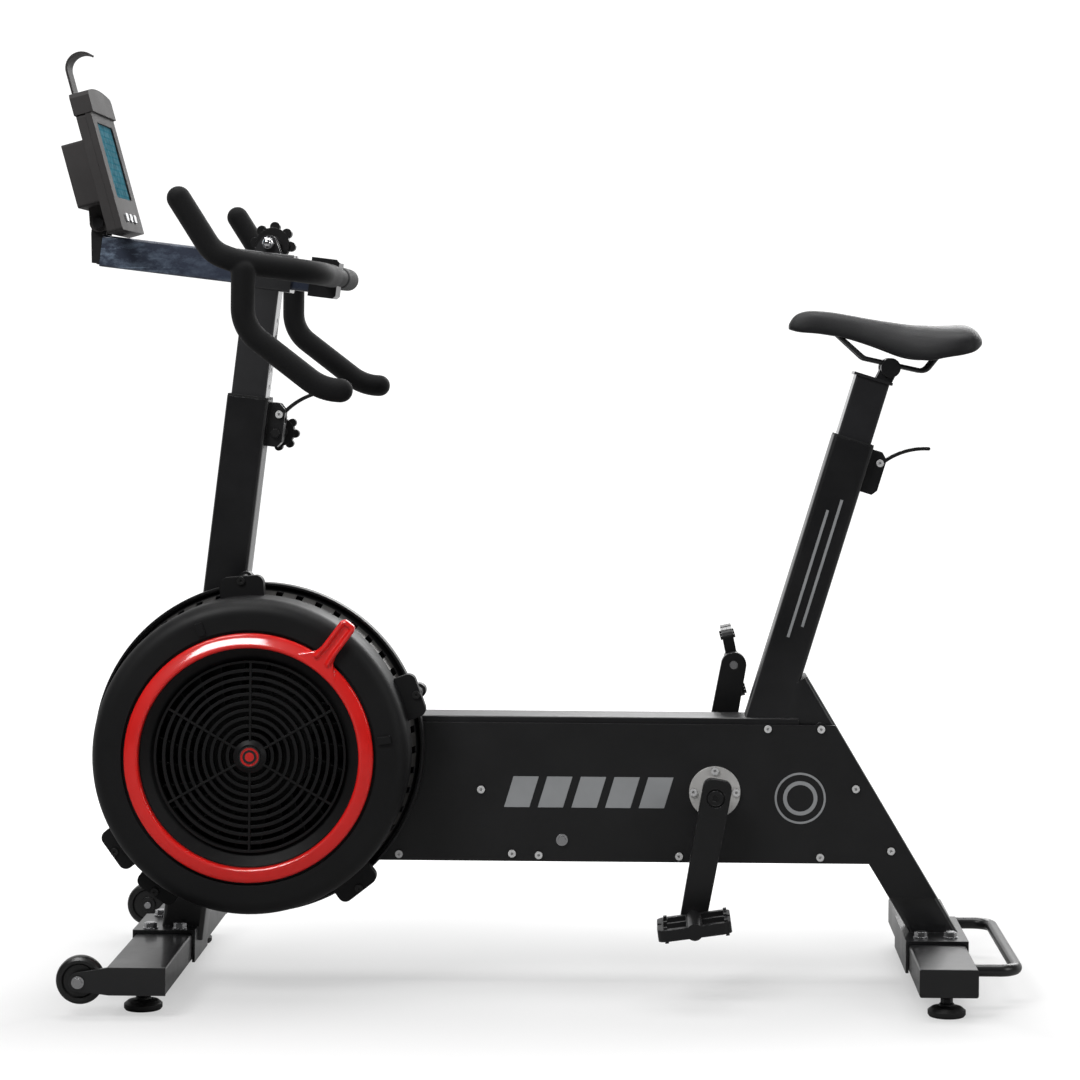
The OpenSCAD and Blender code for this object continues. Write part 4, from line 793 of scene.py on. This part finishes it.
def prints():
    """Five slanted bars and two rings on each side plate, and two lines up the seat tube."""
    plate = [print_slab(slanted_bar(-0.044 + i * 0.048, 0.250), PLATE_FACE_Y) for i in range(5)]
    plate += [print_ring((0.378, 0.266), inner, outer, PLATE_FACE_Y)
              for inner, outer in ((0.0335, 0.0365), (0.0190, 0.0245))]
    tube = []
    for across, low, high in ((-0.0085, -0.295, -0.105), (0.0065, -0.275, -0.085)):
        corners = ((across, low), (across + 0.004, low), (across + 0.004, high), (across, high))
        tube.append(print_slab([leaned(SEAT_TUBE_TOP, SEAT_LEAN, *corner) for corner in corners],
                               SEAT_TUBE_FACE_Y))
    for label in ("left", "right"):
        for name, parts in (("plate_print", plate), ("tube_print", tube)):
            part = merge(parts)
            if label == "right":
                part = mirror_y(part)
            o = add_mesh(name + "_" + label, part, "print_silver", sharp_above=30)
            attach(o, "frame")


prints()


# ---------------------------------------------------------------- stage, light, camera

def stage():
    """A floor that curves up into a white backdrop, with a painted shadow under the bike."""
    near, bend_from, bend_r, height, half_width = -60.0, 4.0, 2.5, 9.0, 60.0
    section = [(near, 0.0), (bend_from, 0.0)]
    section += [(bend_from + bend_r * math.sin(t), bend_r - bend_r * math.cos(t))
                for t in np.linspace(0, math.pi / 2, 16)[1:]]
    section += [(bend_from + bend_r, height)]
    verts = [(x, y, z) for y, z in section for x in (-half_width, half_width)]
    faces = [(2 * i, 2 * i + 1, 2 * i + 3, 2 * i + 2) for i in range(len(section) - 1)]
    mesh = bpy.data.meshes.new("floor")
    mesh.from_pydata(verts, [], faces)
    mesh.shade_smooth()
    g = Graph("floor")
    slow = g.ramp(g.noise(1.5, 2.0), 0.3, 0.7)
    g.set("Base Color", g.mix(slow, (0.31, 0.31, 0.31), (0.33, 0.33, 0.33)))
    g.set("Roughness", 0.8)
    g.set("Specular IOR Level", 0.1)
    place = g.split(g.at)
    # A painted shadow: the glow is dimmed to a soft grey band under the bike; the rest of the floor
    # is white
    away_y = g.ramp(g.math("ABSOLUTE", place["Y"]), 0.1, 1.0)
    away_x = g.ramp(g.math("ABSOLUTE", place["X"]), 0.55, 1.1)
    level = g.ramp(g.math("MAXIMUM", away_y, away_x), 0.0, 1.0, 0.44, 1.0)
    # The glow is seen by the camera everywhere, and by reflections only behind the bike
    camera_ray = g.add("ShaderNodeLightPath").outputs["Is Camera Ray"]
    behind = g.math("MULTIPLY", g.ramp(place["Y"], 0.3, 1.5), 0.6)
    g.set("Emission Color", (1.0, 1.0, 1.0))
    g.set("Emission Strength", g.math("MULTIPLY", g.math("MAXIMUM", camera_ray, behind), level))
    mesh.materials.append(g.mat)
    floor = bpy.data.objects.new("floor", mesh)
    bpy.context.scene.collection.objects.link(floor)
    floor.location.z = CAD_BOX[0].z - 0.0005


def area_light(name, at, target, size, power):
    light = bpy.data.lights.new(name, "AREA")
    light.shape = "RECTANGLE"
    light.size, light.size_y = size
    light.energy = power
    o = bpy.data.objects.new(name, light)
    bpy.context.scene.collection.objects.link(o)
    o.location = at
    o.rotation_mode = "QUATERNION"
    o.rotation_quaternion = (Vector(target) - Vector(at)).to_track_quat("-Z", "Y")
    return o


def lights():
    world = bpy.data.worlds.new("world")
    bpy.context.scene.world = world
    world.use_nodes = True
    background = world.node_tree.nodes["Background"]
    background.inputs["Color"].default_value = (1, 1, 1, 1)
    background.inputs["Strength"].default_value = 0.08
    area_light("key", (-1.6, -2.4, 3.2), (-0.1, 0, 0.5), (1.6, 1.2), 75)
    area_light("fill", (2.8, -2.0, 1.6), (0.2, 0, 0.6), (1.2, 1.6), 18)
    area_light("top", (0.0, 0.4, 3.6), (0, 0, 0.4), (3.4, 1.6), 80)
    area_light("rim", (1.2, 3.0, 2.2), (0, 0, 0.6), (3.0, 1.4), 70)
    # A softbox that only the damper ring reflects
    glare = area_light("glare", (-1.04, -3.0, 1.31), (-0.42, -0.186, 0.50), (0.9, 0.7), 55)
    glare.visible_diffuse = False
    lit = bpy.data.collections.new("glare_on")
    lit.objects.link(DAMPER)
    glare.light_linking.receiver_collection = lit


def camera():
    data = bpy.data.cameras.new("camera")
    data.sensor_width = 36.0
    data.lens = 97.3
    data.shift_x, data.shift_y = -0.10, -0.174
    data.clip_start, data.clip_end = 0.1, 60
    o = bpy.data.objects.new("camera", data)
    bpy.context.scene.collection.objects.link(o)
    o.location = (0.1555, -4.2, 0.900)
    level = Matrix.Rotation(math.radians(90), 3, "X")
    roll = Matrix.Rotation(math.radians(0.5), 3, "Z")
    o.rotation_euler = (level @ roll).to_euler()
    bpy.context.scene.camera = o


def color_management():
    view = bpy.context.scene.view_settings
    view.view_transform = "Standard"
    view.look = "None"
    view.exposure = 0.0


stage()
lights()
camera()
color_management()
